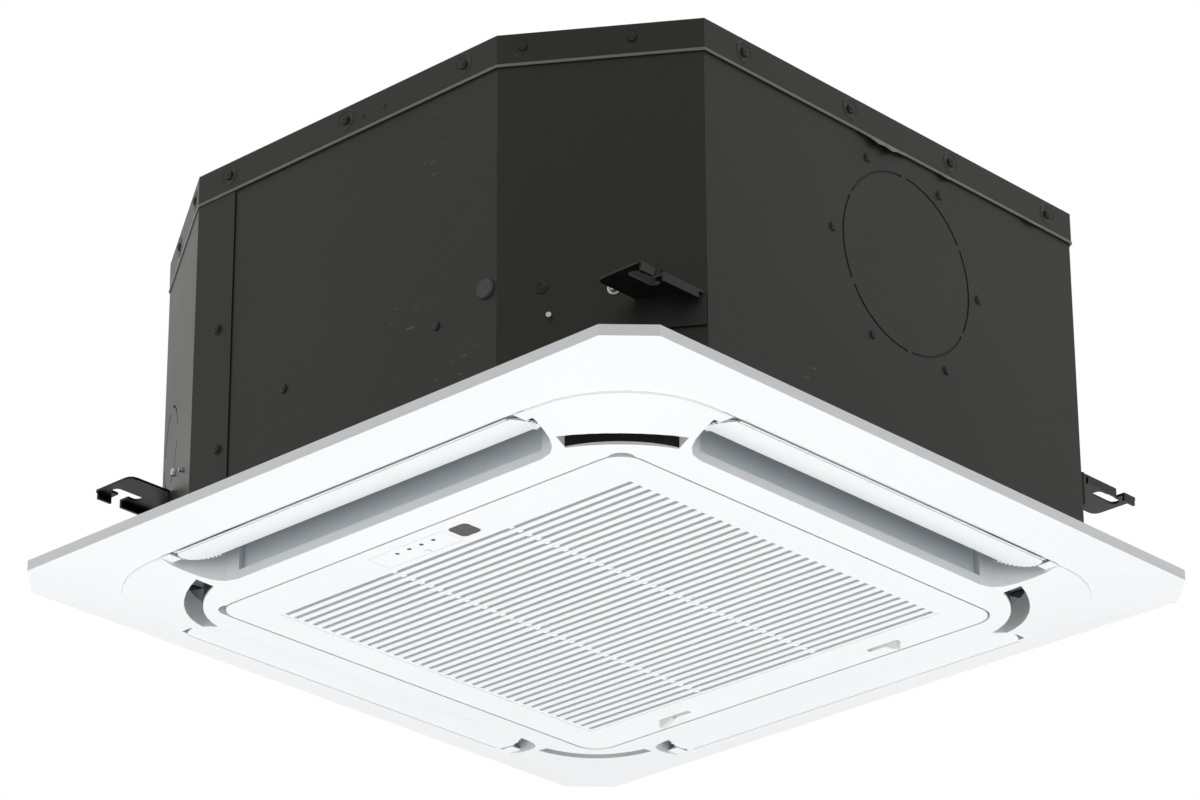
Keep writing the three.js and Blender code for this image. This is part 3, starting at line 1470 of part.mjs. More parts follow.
add("drain_pump", drainPump(), "dark");
add("pump_bracket", pumpBracket(), "steel");
add("float_switch", floatSwitch(), "plastic");
add("float", floatRing(), "offWhite");
add("drain_outlet", drainOutlet(), "plastic");

// ---- Fan ----

const hubRadius = MOTOR_DIAMETER / 2 + FAN_HUB_CLEARANCE;
const shaftBore = SHAFT_DIAMETER / 2 + GAP;

function bellMouth() {
  const seat = BELL_SEAT_RADIUS - GAP;
  const throat = BELL_RADIUS;
  const middle = (seat + throat) / 2;
  return turnedProfile([
    [seat, panBottom],
    [seat, panBottom + BELL_SHEET],
    [middle + 4, panBottom + 6],
    [throat + 10, panBottom + 17],
    [throat + BELL_SHEET + 1, panBottom + 34],
    [throat + BELL_SHEET, BELL_TOP],
    [throat, BELL_TOP],
    [throat, panBottom + 33],
    [throat + 7, panBottom + 16],
    [middle + 2, panBottom + 4.5],
    [seat - 8, panBottom],
  ], 32);
}

function impeller() {
  const tip = FAN_RADIUS;
  const eye = FAN_SHROUD_RADIUS;
  const back = FAN_TOP - FAN_BACK;
  const shroud = turnedProfile([
    [eye, FAN_BOTTOM],
    [eye + 2.5, FAN_BOTTOM],
    [eye + 4, FAN_BOTTOM + 20],
    [eye + 11, FAN_BOTTOM + 31],
    [tip, FAN_BOTTOM + 35],
    [tip, FAN_BOTTOM + 38],
    [eye + 9, FAN_BOTTOM + 34],
    [eye + 1.5, FAN_BOTTOM + 22],
  ]);
  const hub = turnedProfile([
    [shaftBore, FAN_HUB_BOTTOM],
    [14, FAN_HUB_BOTTOM],
    [16, FAN_HUB_BOTTOM + 4],
    [hubRadius - 4, FAN_HUB_BOTTOM + 7],
    [hubRadius + FAN_BACK, FAN_HUB_BOTTOM + 14],
    [hubRadius + FAN_BACK, back],
    [tip, back],
    [tip, FAN_TOP],
    [hubRadius, FAN_TOP],
    [hubRadius, FAN_HUB_BOTTOM + 16],
    [hubRadius - 5, FAN_HUB_BOTTOM + 10],
    [shaftBore, FAN_HUB_BOTTOM + 7],
  ]);
  const blades = Array.from({ length: FAN_BLADES }, (_, i) => {
    const shape = new THREE.Shape();
    const root = hubRadius + FAN_BLADE_ROOT;
    const bend = root + FAN_BLADE_BEND;
    const end = tip * FAN_BLADE_REACH;
    shape.moveTo(root, 0);
    shape.quadraticCurveTo(bend, 2 * FAN_BLADE, end, -FAN_BLADE_SWEEP);
    shape.lineTo(end + FAN_BLADE, -FAN_BLADE_SWEEP + 2);
    shape.quadraticCurveTo(bend + 2, 3.6 * FAN_BLADE, root, FAN_BLADE);
    shape.closePath();
    return turned(prism(shape, FAN_BOTTOM + 28, back + 0.5), (360 * i) / FAN_BLADES);
  });
  const inside = rod(2 * tip - 0.2, [0, 0, FAN_BOTTOM], [0, 0, FAN_TOP], 24);
  const clearOfShroud = turnedProfile([
    [0, FAN_BOTTOM],
    [eye + 1, FAN_BOTTOM],
    [eye + 2, FAN_BOTTOM + 21],
    [eye + 10, FAN_BOTTOM + 32.5],
    [tip + 5, FAN_BOTTOM + 36.5],
    [tip + 5, FAN_TOP],
    [0, FAN_TOP],
  ]);
  return join(shroud, hub, join(...blades).intersect(inside).intersect(clearOfShroud));
}

function fanNut() {
  const shape = new THREE.Shape();
  for (let i = 0; i < 6; i++) {
    const angle = (i * Math.PI) / 3;
    const [a, b] = [11 * Math.cos(angle), 11 * Math.sin(angle)];
    if (i === 0) shape.moveTo(a, b);
    else shape.lineTo(a, b);
  }
  shape.closePath();
  const top = FAN_HUB_BOTTOM - GAP;
  return cut(prism(shape, top - 7, top), rod(2 * shaftBore, [0, 0, top - 9], [0, 0, top + 2], 20));
}

function fanMotor() {
  return cut(
    rod(MOTOR_DIAMETER, [0, 0, MOTOR_BOTTOM], [0, 0, MOTOR_TOP], 24),
    rod(SHAFT_DIAMETER + 2 * RUN, [0, 0, MOTOR_BOTTOM - 1], [0, 0, SHAFT_TOP + RUN], 20),
  );
}

function motorMount() {
  const z = MOTOR_TOP + GAP;
  const plate = box(
    -MOUNT_PLATE_HALF, MOUNT_PLATE_HALF, -MOUNT_PLATE_HALF, MOUNT_PLATE_HALF, z, z + MOUNT_PLATE,
  );
  const leg = MOUNT_PLATE_HALF - 12;
  const legs = [[1, 1], [1, -1], [-1, 1], [-1, -1]].map(([sx, sy]) =>
    rod(12, [sx * leg, sy * leg, z + 1], [sx * leg, sy * leg, plateUnderside - GAP], 16),
  );
  return join(plate, ...legs);
}

add("bell_mouth", bellMouth(), "plastic");
add("impeller", impeller(), "plastic");
add("fan_nut", fanNut(), "steel");
add("motor_shaft", rod(SHAFT_DIAMETER, [0, 0, FAN_HUB_BOTTOM - 12], [0, 0, SHAFT_TOP], 20), "steel");
add("fan_motor", fanMotor(), "dark");
add("motor_mount", motorMount(), "steel");

// ---- Control box ----

const controlTop = panBottom - GAP;

function controlBox() {
  const wall = CONTROL_SHEET;
  const [near, far] = [CONTROL_NEAR_Y, CONTROL_FAR_Y];
  const shell = cut(
    box(-CONTROL_HALF, CONTROL_HALF, near, far, CONTROL_BOTTOM, controlTop),
    box(
      -CONTROL_HALF + wall,
      CONTROL_HALF - wall,
      near + wall,
      far - wall,
      CONTROL_BOTTOM - 1,
      controlTop - wall,
    ),
  );
  const posts = boardCorners.map(([x, y]) =>
    rod(POST_DIAMETER + 1, [x, y, CIRCUIT_Z + BOARD + GAP], [x, y, controlTop - wall + 0.5], 10),
  );
  return join(shell, ...posts);
}

const boardCorners = [-CONTROL_HALF + 14, 30].flatMap((x) => [
  [x, CONTROL_NEAR_Y + 10],
  [x, CONTROL_FAR_Y - 10],
]);

// Blocks on the circuit board: place along it and from its near edge, length, width and height.
const circuitParts = {
  transformer: { along: 10, aside: 6, length: 24, width: 16, height: 9 },
  relays: { along: 46, aside: 4, length: 14, width: 26, height: 6 },
  processor: { along: 78, aside: 10, length: 22, width: 16, height: 5 },
};

function circuitBoard() {
  const near = CONTROL_NEAR_Y + CIRCUIT_MARGIN;
  const left = -CONTROL_HALF + CIRCUIT_MARGIN + 2;
  const board = box(
    left,
    left + CIRCUIT_LENGTH,
    near,
    CONTROL_FAR_Y - CIRCUIT_MARGIN,
    CIRCUIT_Z,
    CIRCUIT_Z + BOARD,
  );
  const parts = Object.values(circuitParts).map(({ along, aside, length, width, height }) => {
    const x = left + along;
    const y = near + aside;
    return box(x, x + length, y, y + width, CIRCUIT_Z - height, CIRCUIT_Z + 0.5);
  });
  return join(board, ...parts);
}

function terminalBlock() {
  const near = CONTROL_NEAR_Y + TERMINAL_MARGIN;
  const far = CONTROL_FAR_Y - TERMINAL_MARGIN;
  const walls = Array.from({ length: TERMINAL_WAYS + 1 }, (_, i) => {
    const x = TERMINAL_START + i * TERMINAL_PITCH;
    return box(x, x + TERMINAL_WALL, near, far, TERMINAL_LOW, TERMINAL_BASE + 1);
  });
  const end = TERMINAL_START + TERMINAL_WAYS * TERMINAL_PITCH + TERMINAL_WALL;
  const top = controlTop - CONTROL_SHEET - GAP;
  return join(box(TERMINAL_START, end, near, far, TERMINAL_BASE, top), ...walls);
}

function controlCover() {
  const z = CONTROL_BOTTOM - GAP;
  return box(
    -CONTROL_HALF, CONTROL_HALF, CONTROL_NEAR_Y, CONTROL_FAR_Y, z - CONTROL_SHEET, z,
  );
}

add("control_box", controlBox(), "steel");
add("control_box_cover", controlCover(), "steel");
add("circuit_board", circuitBoard(), "board");
add("terminal_block", terminalBlock(), "offWhite");

export default unit;
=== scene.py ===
# Looks of the ceiling cassette air conditioner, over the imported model.
# Sizes are written in millimetres and multiplied by MM, because the scene is in metres.
import json
import math

import bmesh
import bpy
from mathutils import Matrix, Vector


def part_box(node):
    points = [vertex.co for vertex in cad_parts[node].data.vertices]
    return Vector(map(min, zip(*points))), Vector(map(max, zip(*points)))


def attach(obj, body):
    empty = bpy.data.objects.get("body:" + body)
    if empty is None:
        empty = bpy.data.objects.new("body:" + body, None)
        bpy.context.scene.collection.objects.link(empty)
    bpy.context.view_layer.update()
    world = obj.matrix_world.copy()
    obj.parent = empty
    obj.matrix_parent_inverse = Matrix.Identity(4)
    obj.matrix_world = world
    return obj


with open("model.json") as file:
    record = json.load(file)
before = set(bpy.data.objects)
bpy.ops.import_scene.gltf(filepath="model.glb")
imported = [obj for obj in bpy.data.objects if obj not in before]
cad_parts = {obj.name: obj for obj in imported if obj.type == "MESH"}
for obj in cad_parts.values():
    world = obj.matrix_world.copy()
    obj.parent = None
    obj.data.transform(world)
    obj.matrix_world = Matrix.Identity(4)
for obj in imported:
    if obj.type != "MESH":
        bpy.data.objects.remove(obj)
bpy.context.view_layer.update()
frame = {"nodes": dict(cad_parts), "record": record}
nodes = frame["nodes"]

MM = 0.001

# ---- Camera, solved from the photograph ----
CAMERA_AZIMUTH = 43.03
CAMERA_ELEVATION = 25.0  # upwards, because the camera is below the unit
CAMERA_ROLL = -0.3
CAMERA_PLACE = (2.2248, -2.3907, -1.3755)
LENS = 140.07
SENSOR = 36.0

# ---- The body's outline, as in the source of the part ----
TOP_LOW, TOP_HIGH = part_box("top_plate")
FLANGE = TOP_HIGH[0]
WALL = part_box("casing_shell")[1][0]
FRONT_CORNER = (159 * MM, 201 * MM)  # X where the -Y face ends, Y where the side faces end
REAR_CORNER = (194 * MM, 224.5 * MM)

# ---- Corner slots of the panel ----
SLOT_CENTRE = 155 * MM
SLOT_RADIUS = 86 * MM

SLOT_SHADOW_FROM = 5 * MM  # from the arc's ends, and inwards from its radius
SLOT_SHADOW_OUT = 1 * MM
SLOT_SHADOW_Z = -26.6 * MM

# ---- Zones of the air ducts in the panel ----
DUCT_FROM = 229 * MM
DUCT_TO = 284.2 * MM
DUCT_END = 179.5 * MM  # half length, where the ends are straight
DUCT_CURVE_FROM = 250 * MM
DUCT_CURVE = 0.35
# DUCT_TOP_Z to DUCT_DEEP_Z: the heights over which painted shade darkens the ducts deeper in.
DUCT_TOP_Z = -12 * MM
DUCT_DEEP_Z = 8 * MM
END_WALL = (155.5 * MM, 156.5 * MM)

# ---- Fasteners ----
SCREW_RADIUS = 3.6 * MM
SCREW_HEIGHT = 1.8 * MM
SMALL_SCREW_RADIUS = 3.2 * MM
DIMPLE_RADIUS = 9 * MM
RIVET_RADIUS = 2.2 * MM
FLANGE_SCREW_DROP = 11 * MM
FRONT_FLANGE_SCREWS = (-125 * MM, 2 * MM, 125 * MM)
SIDE_FLANGE_SCREWS = (-157.7 * MM, -39.3 * MM, 77.7 * MM, 195.3 * MM)
FRONT_RIVETS = (20 * MM, 43 * MM)
CHAMFER_FLANGE_SCREWS = (19 * MM, 99 * MM)
FRONT_WALL_SCREWS = (
    (-133 * MM, 152.6 * MM),
    (-129 * MM, 52.6 * MM),
    (-59 * MM, 79.6 * MM),
    (99 * MM, 77.6 * MM),
)
COVER_SEAM_X = -118 * MM  # the pipe cover plate lies over the wall beyond this, towards -X
NEAR_SCREW_ALONG = 115 * MM
NEAR_SCREW_Z = 90.6 * MM
KNOCKOUT_Y = 21.8 * MM
KNOCKOUT_Z = 174.1 * MM
KNOCKOUT_DIAMETER = 146.5 * MM
KNOCKOUT_SLIT = 2 * MM
KNOCKOUT_ARC = 56  # degrees of each slit
KNOCKOUT_SCREW_CIRCLE = 168 * MM
CHAMFER_PLUG_ALONG = 32 * MM
CHAMFER_PLUG_Z = 85.6 * MM
CHAMFER_PLUG_RADIUS = 5 * MM

BOLT_RADIUS = 3.2 * MM
FRONT_BOLT_ALONG = 84 * MM
REAR_BOLT_ALONG = 74 * MM
STUD_ASIDE = 46 * MM
BOLT_Z = 80 * MM
STUD_Z = 62 * MM
STUD_RADIUS = 2 * MM

# ---- Hem of the top plate's flange ----
HEM_HEIGHT = 2.4 * MM
HEM_PROUD = 0.7 * MM
HEM_STEP = 3 * MM
HEM_RIPPLE = 2.6 * MM
HEM_TEAR = (-2 * MM, 34 * MM, 7.0 * MM)  # middle in Y, half length and depth on the +X face
HEM_LIFTS = ((70 * MM, 12 * MM, 2.6 * MM), (174 * MM, 13 * MM, 2.4 * MM))

# ---- Flaps, as in the source of the part, seen as the one on the -Y side ----
OUTLET_OUTER = 285 * MM
FLAP_OUTER = 282.7 * MM
FLAP_OUTER_Z = -18.4 * MM
FLAP_TILT = math.radians(12)
FLAP_CHORD = 34 * MM
FLAP_CAMBER = 1.6 * MM
FLAP_OUTER_HALF = 169.4 * MM
FLAP_WIDEST_HALF = 176 * MM
FLAP_INNER_HALF = 161 * MM
FLAP_ROUND_FROM = 9 * MM  # along the chord, where the teeth start
FLAP_TEETH = 9
TOOTH_LENGTH = 2.4 * MM
TOOTH_WIDTH = 1.8 * MM
BEAD_REACH = 0.5 * MM
BEAD_THICK = 0.9 * MM
OUTLET_LIP = 1.0 * MM
OUTLET_HALF = 187 * MM
PIVOT_COVER_GAP = 1.2 * MM
PIVOT_COVER_DEPTH = 12 * MM
PIVOT_COVER_Z = -17.6 * MM
SIDES = ("front", "right", "rear", "left")

# ---- Grille webs and status lights, as in the source of the part ----
LOUVRE_COUNT = 36
LOUVRE_START = -167 * MM
LOUVRE_PITCH = 9.54 * MM
LOUVRE_SLOT_HALF = 2.0 * MM
LOUVRE_WEB_X = 60 * MM
LOUVRE_WEB_HALF = 2.2 * MM
LOUVRE_WEB_RECESS = 0.5 * MM
LOUVRE_WEB_DEPTH = 4.5 * MM
LIGHT_COUNT = 4
LIGHT_FIRST_X = -32.9 * MM
LIGHT_PITCH = 12.4 * MM
LIGHT_Y = -190.6 * MM
LIGHT_RADIUS = 1.75 * MM

# ---- Filter net ----
NET_PITCH = 3.6 * MM
NET_THREAD = 1.3 * MM


def linear(*channels):
    """A colour given as 0 to 255 sRGB channels, in the linear values that shaders take."""
    values = [c / 255 for c in channels]
    return tuple(v / 12.92 if v <= 0.04045 else ((v + 0.055) / 1.055) ** 2.4 for v in values) + (1,)


# ---- Materials ----


class Surface:
    """A material whose colour, roughness and bump come from nodes in the model's own coordinates."""

    def __init__(self, name, roughness, metallic=0.0):
        self.material = bpy.data.materials.new(name)
        self.material.use_nodes = True
        self.tree = self.material.node_tree
        self.shader = self.tree.nodes["Principled BSDF"]
        self.shader.inputs["Roughness"].default_value = roughness
        self.shader.inputs["Metallic"].default_value = metallic
        self.place = self.tree.nodes.new("ShaderNodeTexCoord").outputs["Object"]

    def feed(self, socket, value):
        if isinstance(value, bpy.types.NodeSocket):
            self.tree.links.new(value, socket)
        else:
            socket.default_value = value

    def axis(self, name):
        split = self.tree.nodes.new("ShaderNodeSeparateXYZ")
        self.feed(split.inputs[0], self.place)
        return split.outputs[name]

    def normal(self, name):
        split = self.tree.nodes.new("ShaderNodeSeparateXYZ")
        self.feed(split.inputs[0], self.tree.nodes.new("ShaderNodeNewGeometry").outputs["Normal"])
        return split.outputs[name]

    def maths(self, operation, first, second=0.0):
        node = self.tree.nodes.new("ShaderNodeMath")
        node.operation = operation
        self.feed(node.inputs[0], first)
        self.feed(node.inputs[1], second)
        return node.outputs[0]

    def all_of(self, *factors):
        product = factors[0]
        for factor in factors[1:]:
            product = self.maths("MULTIPLY", product, factor)
        return product

    def noise(self, scale, detail=4.0, stretch=(1, 1, 1)):
        mapping = self.tree.nodes.new("ShaderNodeMapping")
        mapping.inputs["Scale"].default_value = stretch
        self.feed(mapping.inputs["Vector"], self.place)
        node = self.tree.nodes.new("ShaderNodeTexNoise")
        node.inputs["Scale"].default_value = scale
        node.inputs["Detail"].default_value = detail
        self.feed(node.inputs["Vector"], mapping.outputs[0])
        return node.outputs[0]

    def stripes(self, value, pitch, share=0.5):
        """1 on a share of each pitch along a coordinate, and 0 between, with soft edges."""
        wave = self.maths("SINE", self.maths("MULTIPLY", value, 2 * math.pi / pitch))
        level = math.cos(math.pi * share)
        return self.step(wave, level - 0.25, level + 0.25)

    def step(self, value, low, high):
        """0 below low, 1 above high, and a ramp between."""
        node = self.tree.nodes.new("ShaderNodeMapRange")
        self.feed(node.inputs["Value"], value)
        node.inputs["From Min"].default_value = low
        node.inputs["From Max"].default_value = high
        return node.outputs[0]

    def between(self, factor, low, high):
        node = self.tree.nodes.new("ShaderNodeMapRange")
        self.feed(node.inputs["Value"], factor)
        node.inputs["To Min"].default_value = low
        node.inputs["To Max"].default_value = high
        return node.outputs[0]

    def blend(self, factor, first, second):
        node = self.tree.nodes.new("ShaderNodeMix")
        node.data_type = "RGBA"
        self.feed(node.inputs[0], factor)
        self.feed(node.inputs[6], first)
        self.feed(node.inputs[7], second)
        return node.outputs[2]

    def colour(self, value):
        self.feed(self.shader.inputs["Base Color"], value)

    def roughness(self, value):
        self.feed(self.shader.inputs["Roughness"], value)

    def bump(self, height, distance, strength=1.0):
        node = self.tree.nodes.new("ShaderNodeBump")
        node.inputs["Distance"].default_value = distance
        node.inputs["Strength"].default_value = strength
        self.feed(node.inputs["Height"], height)
        previous = self.shader.inputs["Normal"].links
        if previous:
            self.feed(node.inputs["Normal"], previous[0].from_socket)
        self.feed(self.shader.inputs["Normal"], node.outputs[0])


def painted_sheet(name, base, worn, roughness):
    """Satin paint on thin sheet: broad waves, fine orange peel, and a few pale scuffs."""
    surface = Surface(name, roughness)
    clouds = surface.noise(5.0, 3)
    tone = surface.blend(surface.step(clouds, 0.3, 0.7), base, tuple(c * 0.82 for c in base[:3]) + (1,))
    scratches = surface.noise(60.0, 6, (1, 1, 5))
    patches = surface.step(surface.noise(9.0, 2), 0.6, 0.75)
    scuffs = surface.maths("MULTIPLY", surface.step(scratches, 0.62, 0.7), patches)
    surface.shader.inputs["Specular IOR Level"].default_value = 0.27
    surface.colour(surface.blend(surface.maths("MULTIPLY", scuffs, 0.55), tone, worn))
    surface.roughness(surface.between(clouds, roughness - 0.06, roughness + 0.08))
    surface.bump(surface.noise(3.5, 1), 1.2 * MM)
    surface.bump(surface.noise(1400.0, 2), 0.02 * MM)
    return surface


def moulded(name, base, roughness, grain=1800.0, depth=0.012):
    """Moulded plastic: an even tone with slight clouds, and a fine grain."""
    surface = Surface(name, roughness)
    clouds = surface.noise(7.0, 2)
    darker = tuple(c * 0.95 for c in base[:3]) + (1,)
    surface.colour(surface.blend(clouds, base, darker))
    surface.roughness(surface.between(clouds, roughness - 0.03, roughness + 0.05))
    surface.bump(surface.noise(grain, 2), depth * MM)
    return surface


def panel_moulding():
    """The white panel, with pale grey air ducts above a white lip and painted shade darkening them deeper
    in, and black painted shadow in the corner slots.
    """
    surface = moulded("panel_white", WHITE, 0.42)
    level = surface.axis("Z")
    reach_x, reach_y = (surface.maths("ABSOLUTE", surface.axis(name)) for name in "XY")
    reach = surface.maths("MAXIMUM", reach_x, reach_y)
    along = surface.maths("MINIMUM", reach_x, reach_y)
    white = surface.shader.inputs["Base Color"].links[0].from_socket

    # The outlets: their curved ends reach further along where they are nearer the outer edge.
    beyond = surface.maths("MAXIMUM", surface.maths("SUBTRACT", reach, DUCT_CURVE_FROM), 0.0)
    limit = surface.maths("ADD", surface.maths("MULTIPLY", beyond, DUCT_CURVE), DUCT_END)
    upright = surface.step(surface.maths("ABSOLUTE", surface.normal("Z")), 0.75, 0.6)
    above = surface.maths("GREATER_THAN", level, DUCT_TOP_Z)
    inside = surface.all_of(
        surface.maths("GREATER_THAN", reach, DUCT_FROM),
        surface.maths("LESS_THAN", reach, DUCT_TO),
        surface.maths("LESS_THAN", along, limit),
        surface.maths("MAXIMUM", upright, above),
    )
    end_wall = surface.step(along, *END_WALL)
    # Painted shade: the ducts' back walls grow darker deeper in, and their end walls darker upwards.
    depth = surface.step(level, DUCT_TOP_Z, DUCT_DEEP_Z)
    shaded_back_wall = surface.blend(depth, linear(230, 239, 243), linear(210, 221, 227))
    lip = surface.blend(surface.step(level, -22 * MM, -19.5 * MM), linear(222, 224, 225), shaded_back_wall)
    end = surface.blend(surface.step(level, -26 * MM, 4 * MM), linear(226, 229, 230), linear(196, 202, 205))
    duct = surface.blend(end_wall, lip, end)

    # The corner slots: black painted shadow above a low lip on the side towards the middle.
    from_x = surface.maths("MAXIMUM", surface.maths("SUBTRACT", reach_x, SLOT_CENTRE), 0.0)
    from_y = surface.maths("MAXIMUM", surface.maths("SUBTRACT", reach_y, SLOT_CENTRE), 0.0)
    squares = [surface.maths("MULTIPLY", side, side) for side in (from_x, from_y)]
    radius = surface.maths("SQRT", surface.maths("ADD", *squares))
    shadow = surface.all_of(
        surface.maths("GREATER_THAN", surface.maths("MINIMUM", from_x, from_y), SLOT_SHADOW_FROM),
        surface.maths("GREATER_THAN", radius, SLOT_RADIUS - SLOT_SHADOW_FROM),
        surface.maths("LESS_THAN", radius, SLOT_RADIUS + SLOT_SHADOW_OUT),
        surface.maths("GREATER_THAN", level, SLOT_SHADOW_Z),
    )
    white = surface.blend(shadow, white, linear(14, 13, 12))
    surface.colour(surface.blend(inside, white, duct))
    return surface


def foam(name, base, roughness):
    """Closed-cell foam with a pitted skin."""
    surface = Surface(name, roughness)
    cells = surface.noise(420.0, 4)
    paler = tuple(min(1.0, c * 1.25) for c in base[:3]) + (1,)
    surface.colour(surface.blend(cells, base, paler))
    surface.bump(cells, 0.25 * MM)
    return surface


def finned():
    """Thin upright pale fins, with painted shade in the dark gaps between them."""
    surface = Surface("coil_fins_gap_shade", 0.35, 0.9)
    along = surface.maths("ADD", surface.axis("X"), surface.axis("Y"))
    fins = surface.stripes(along, 1.8 * MM)
    # Dark gaps between the fins: painted shade.
    surface.colour(surface.blend(fins, linear(92, 96, 98), linear(196, 200, 202)))
    surface.bump(fins, 0.5 * MM)
    return surface


def metal(name, base, roughness, stretch=(1, 1, 8), scale=120.0):
    """Bare or plated metal with fine drawn lines and dull clouds."""
    surface = Surface(name, roughness, 1.0)
    clouds = surface.noise(14.0, 3)
    duller = tuple(c * 0.8 for c in base[:3]) + (1,)
    surface.colour(surface.blend(clouds, base, duller))
    surface.roughness(surface.between(surface.noise(scale, 5, stretch), roughness - 0.08, roughness + 0.12))
    surface.bump(surface.noise(scale * 4, 2, stretch), 0.02 * MM)
    return surface


def printed_board():
    """A green circuit board with paler tracks."""
    surface = Surface("circuit_green", 0.4)
    tracks = surface.maths(
        "MAXIMUM",
        surface.stripes(surface.axis("X"), 5 * MM, 0.2),
        surface.stripes(surface.axis("Y"), 4 * MM, 0.2),
    )
    broken = surface.maths("MULTIPLY", tracks, surface.step(surface.noise(160.0, 1), 0.48, 0.52))
    surface.colour(surface.blend(broken, linear(24, 74, 48), linear(70, 128, 88)))
    surface.bump(broken, 0.05 * MM)
    return surface


WHITE = linear(236, 238, 239)
OLIVE_BLACK = linear(30, 32, 21)
PALE_WEAR = linear(128, 128, 118)

materials = {
    "white_plastic": moulded("white_moulding", WHITE, 0.4),
    "pale_plastic": moulded("pale_moulding", linear(214, 217, 214), 0.5),
    "smoke_window": moulded("smoke_window", linear(18, 18, 20), 0.12, 300.0, 0.002),
    "casing_paint": painted_sheet("casing_paint", OLIVE_BLACK, PALE_WEAR, 0.42),
    "bracket_paint": painted_sheet("bracket_paint", linear(22, 22, 21), linear(70, 70, 68), 0.4),
    "duct_foam": foam("duct_foam", linear(150, 160, 166), 0.85),
    "gasket_foam": foam("gasket_foam", linear(96, 98, 100), 0.95),
    "fins": finned(),
    "copper": metal("drawn_copper", linear(196, 120, 84), 0.3),
    "brass": metal("turned_brass", linear(196, 166, 96), 0.28, (8, 1, 1)),
    "plated_steel": metal("plated_steel", linear(172, 175, 176), 0.32),
    "grey_plastic": moulded("grey_moulding", linear(150, 153, 155), 0.55),
    "dark_plastic": moulded("dark_moulding", linear(38, 40, 43), 0.5),
    "circuit": printed_board(),
}
panel_material = panel_moulding().material
filter_material = moulded("filter_grey", linear(240, 242, 242), 0.6).material
# Near black, for painted shade: screw crosses, rings round wall screws and the knock-out's slits.
recess_shade_material = moulded("painted_recess_shade", linear(12, 12, 12), 0.7).material
hem_material = painted_sheet("hem_paint", linear(120, 124, 116), linear(186, 188, 180), 0.36).material


def dress_cad_nodes():
    """Gives every CAD node its slot's material, and the panel frame and air filter their own."""
    for part in frame["record"]["subparts"]:
        mesh = nodes[part["node"]].data
        mesh.materials.clear()
        mesh.materials.append(materials[part["material_slot"]].material)
    for name, material in (("panel_frame", panel_material), ("air_filter", filter_material)):
        mesh = nodes[name].data
        mesh.materials.clear()
        mesh.materials.append(material)


# ---- Mesh helpers ----


def facing(point, normal, up=(0, 0, 1)):
    """A place whose Z axis points along the normal."""
    z = Vector(normal).normalized()
    x = Vector(up).cross(z).normalized()
    y = z.cross(x)
    turn = Matrix((x, y, z)).transposed().to_4x4()
    return Matrix.Translation(Vector(point)) @ turn


def lathe(mesh, profile, place, segments=20):
    """Turns points of radius and height about the Z axis of a place."""
    rings = []
    for radius, height in profile:
        count = segments if radius else 1
        angles = [2 * math.pi * i / segments for i in range(count)]
        points = [Vector((radius * math.cos(a), radius * math.sin(a), height)) for a in angles]
        rings.append([mesh.verts.new(place @ point) for point in points])
    for low, high in zip(rings, rings[1:]):
        for i in range(segments):
            j = i + 1
            corners = (low[i % len(low)], low[j % len(low)], high[j % len(high)], high[i % len(high)])
            mesh.faces.new(list(dict.fromkeys(corners)))


def block(mesh, place, low, high, taper=0.0):
    """A block between two corners in a place, its top narrowed by the taper."""
    corners = []
    for z in (low[2], high[2]):
        inset = taper if z == high[2] else 0.0
        corners += [
            mesh.verts.new(place @ Vector((x, y, z)))
            for x, y in (
                (low[0] + inset, low[1] + inset),
                (high[0] - inset, low[1] + inset),
                (high[0] - inset, high[1] - inset),
                (low[0] + inset, high[1] - inset),
            )
        ]
    mesh.faces.new(corners[3::-1])
    mesh.faces.new(corners[4:])
    for i in range(4):
        j = (i + 1) % 4
        mesh.faces.new((corners[i], corners[j], corners[4 + j], corners[4 + i]))


def piece(name, mesh, material, body="root"):
    """Makes a named piece from a bmesh, and lets it ride on a body."""
    bmesh.ops.recalc_face_normals(mesh, faces=mesh.faces)
    data = bpy.data.meshes.new(name)
    mesh.to_mesh(data)
    mesh.free()
    data.materials.append(material)
    data.shade_smooth()
    data.set_sharp_from_angle(angle=math.radians(35))
    made = bpy.data.objects.new(name, data)
    bpy.context.scene.collection.objects.link(made)
    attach(made, body)
    return made


# ---- Places on the body ----


def corner_ends(corner, sign_x, sign_y, inset):
    """The two ends of a sloping corner face: on the face along X, then on the side face."""
    reach = FLANGE - inset
    cut_x, cut_y = corner
    slip = inset * math.tan(math.radians(22.5))
    first = Vector((sign_x * (cut_x - slip), sign_y * reach, 0))
    second = Vector((sign_x * reach, sign_y * (cut_y - slip), 0))
    return first, second


def on_corner(corner, sign_x, sign_y, along, z, inset=0.0):
    """A place on a sloping corner face: distance from its end on the face along X, and height."""
    first, second = corner_ends(corner, sign_x, sign_y, inset)
    direction = (second - first).normalized()
    normal = Vector((sign_x * abs(direction.y), sign_y * abs(direction.x), 0))
    return facing(first + direction * along + Vector((0, 0, z)), normal)


def on_face(axis, sign, across, z, inset=0.0):
    """A place on one of the four long faces: distance along it from the middle, and height."""
    reach = sign * (FLANGE - inset)
    if axis == "X":
        return facing((reach, across, z), (sign, 0, 0))
    return facing((across, reach, z), (0, sign, 0))


# ---- Fasteners on the casing ----


def pan_screw(heads, recess_shades, place, radius):
    """A pan head with a dark cross standing for its recess: painted shade."""
    height = SCREW_HEIGHT * radius / SCREW_RADIUS
    rim = [(radius, 0), (radius, 0.35 * height)]
    dome = [(0.86 * radius, 0.8 * height), (0.6 * radius, height), (0, height)]
    lathe(heads, rim + dome, place)
    arm, half = 0.62 * radius, 0.14 * radius
    low, high = height - 0.3 * MM, height + 0.03 * MM
    block(recess_shades, place, (-arm, -half, low), (arm, half, high))
    block(recess_shades, place, (-half, -arm, low), (half, arm, high))


def dimple(rings, place, radius=DIMPLE_RADIUS):
    """The pressed ring round a flange screw."""
    ridge = [(radius, -0.1 * MM), (0.93 * radius, 0.45 * MM), (0.84 * radius, 0.5 * MM)]
    floor = [(0.7 * radius, 0.1 * MM), (0.4 * radius, 0.05 * MM)]
    lathe(rings, ridge + floor, place, 28)


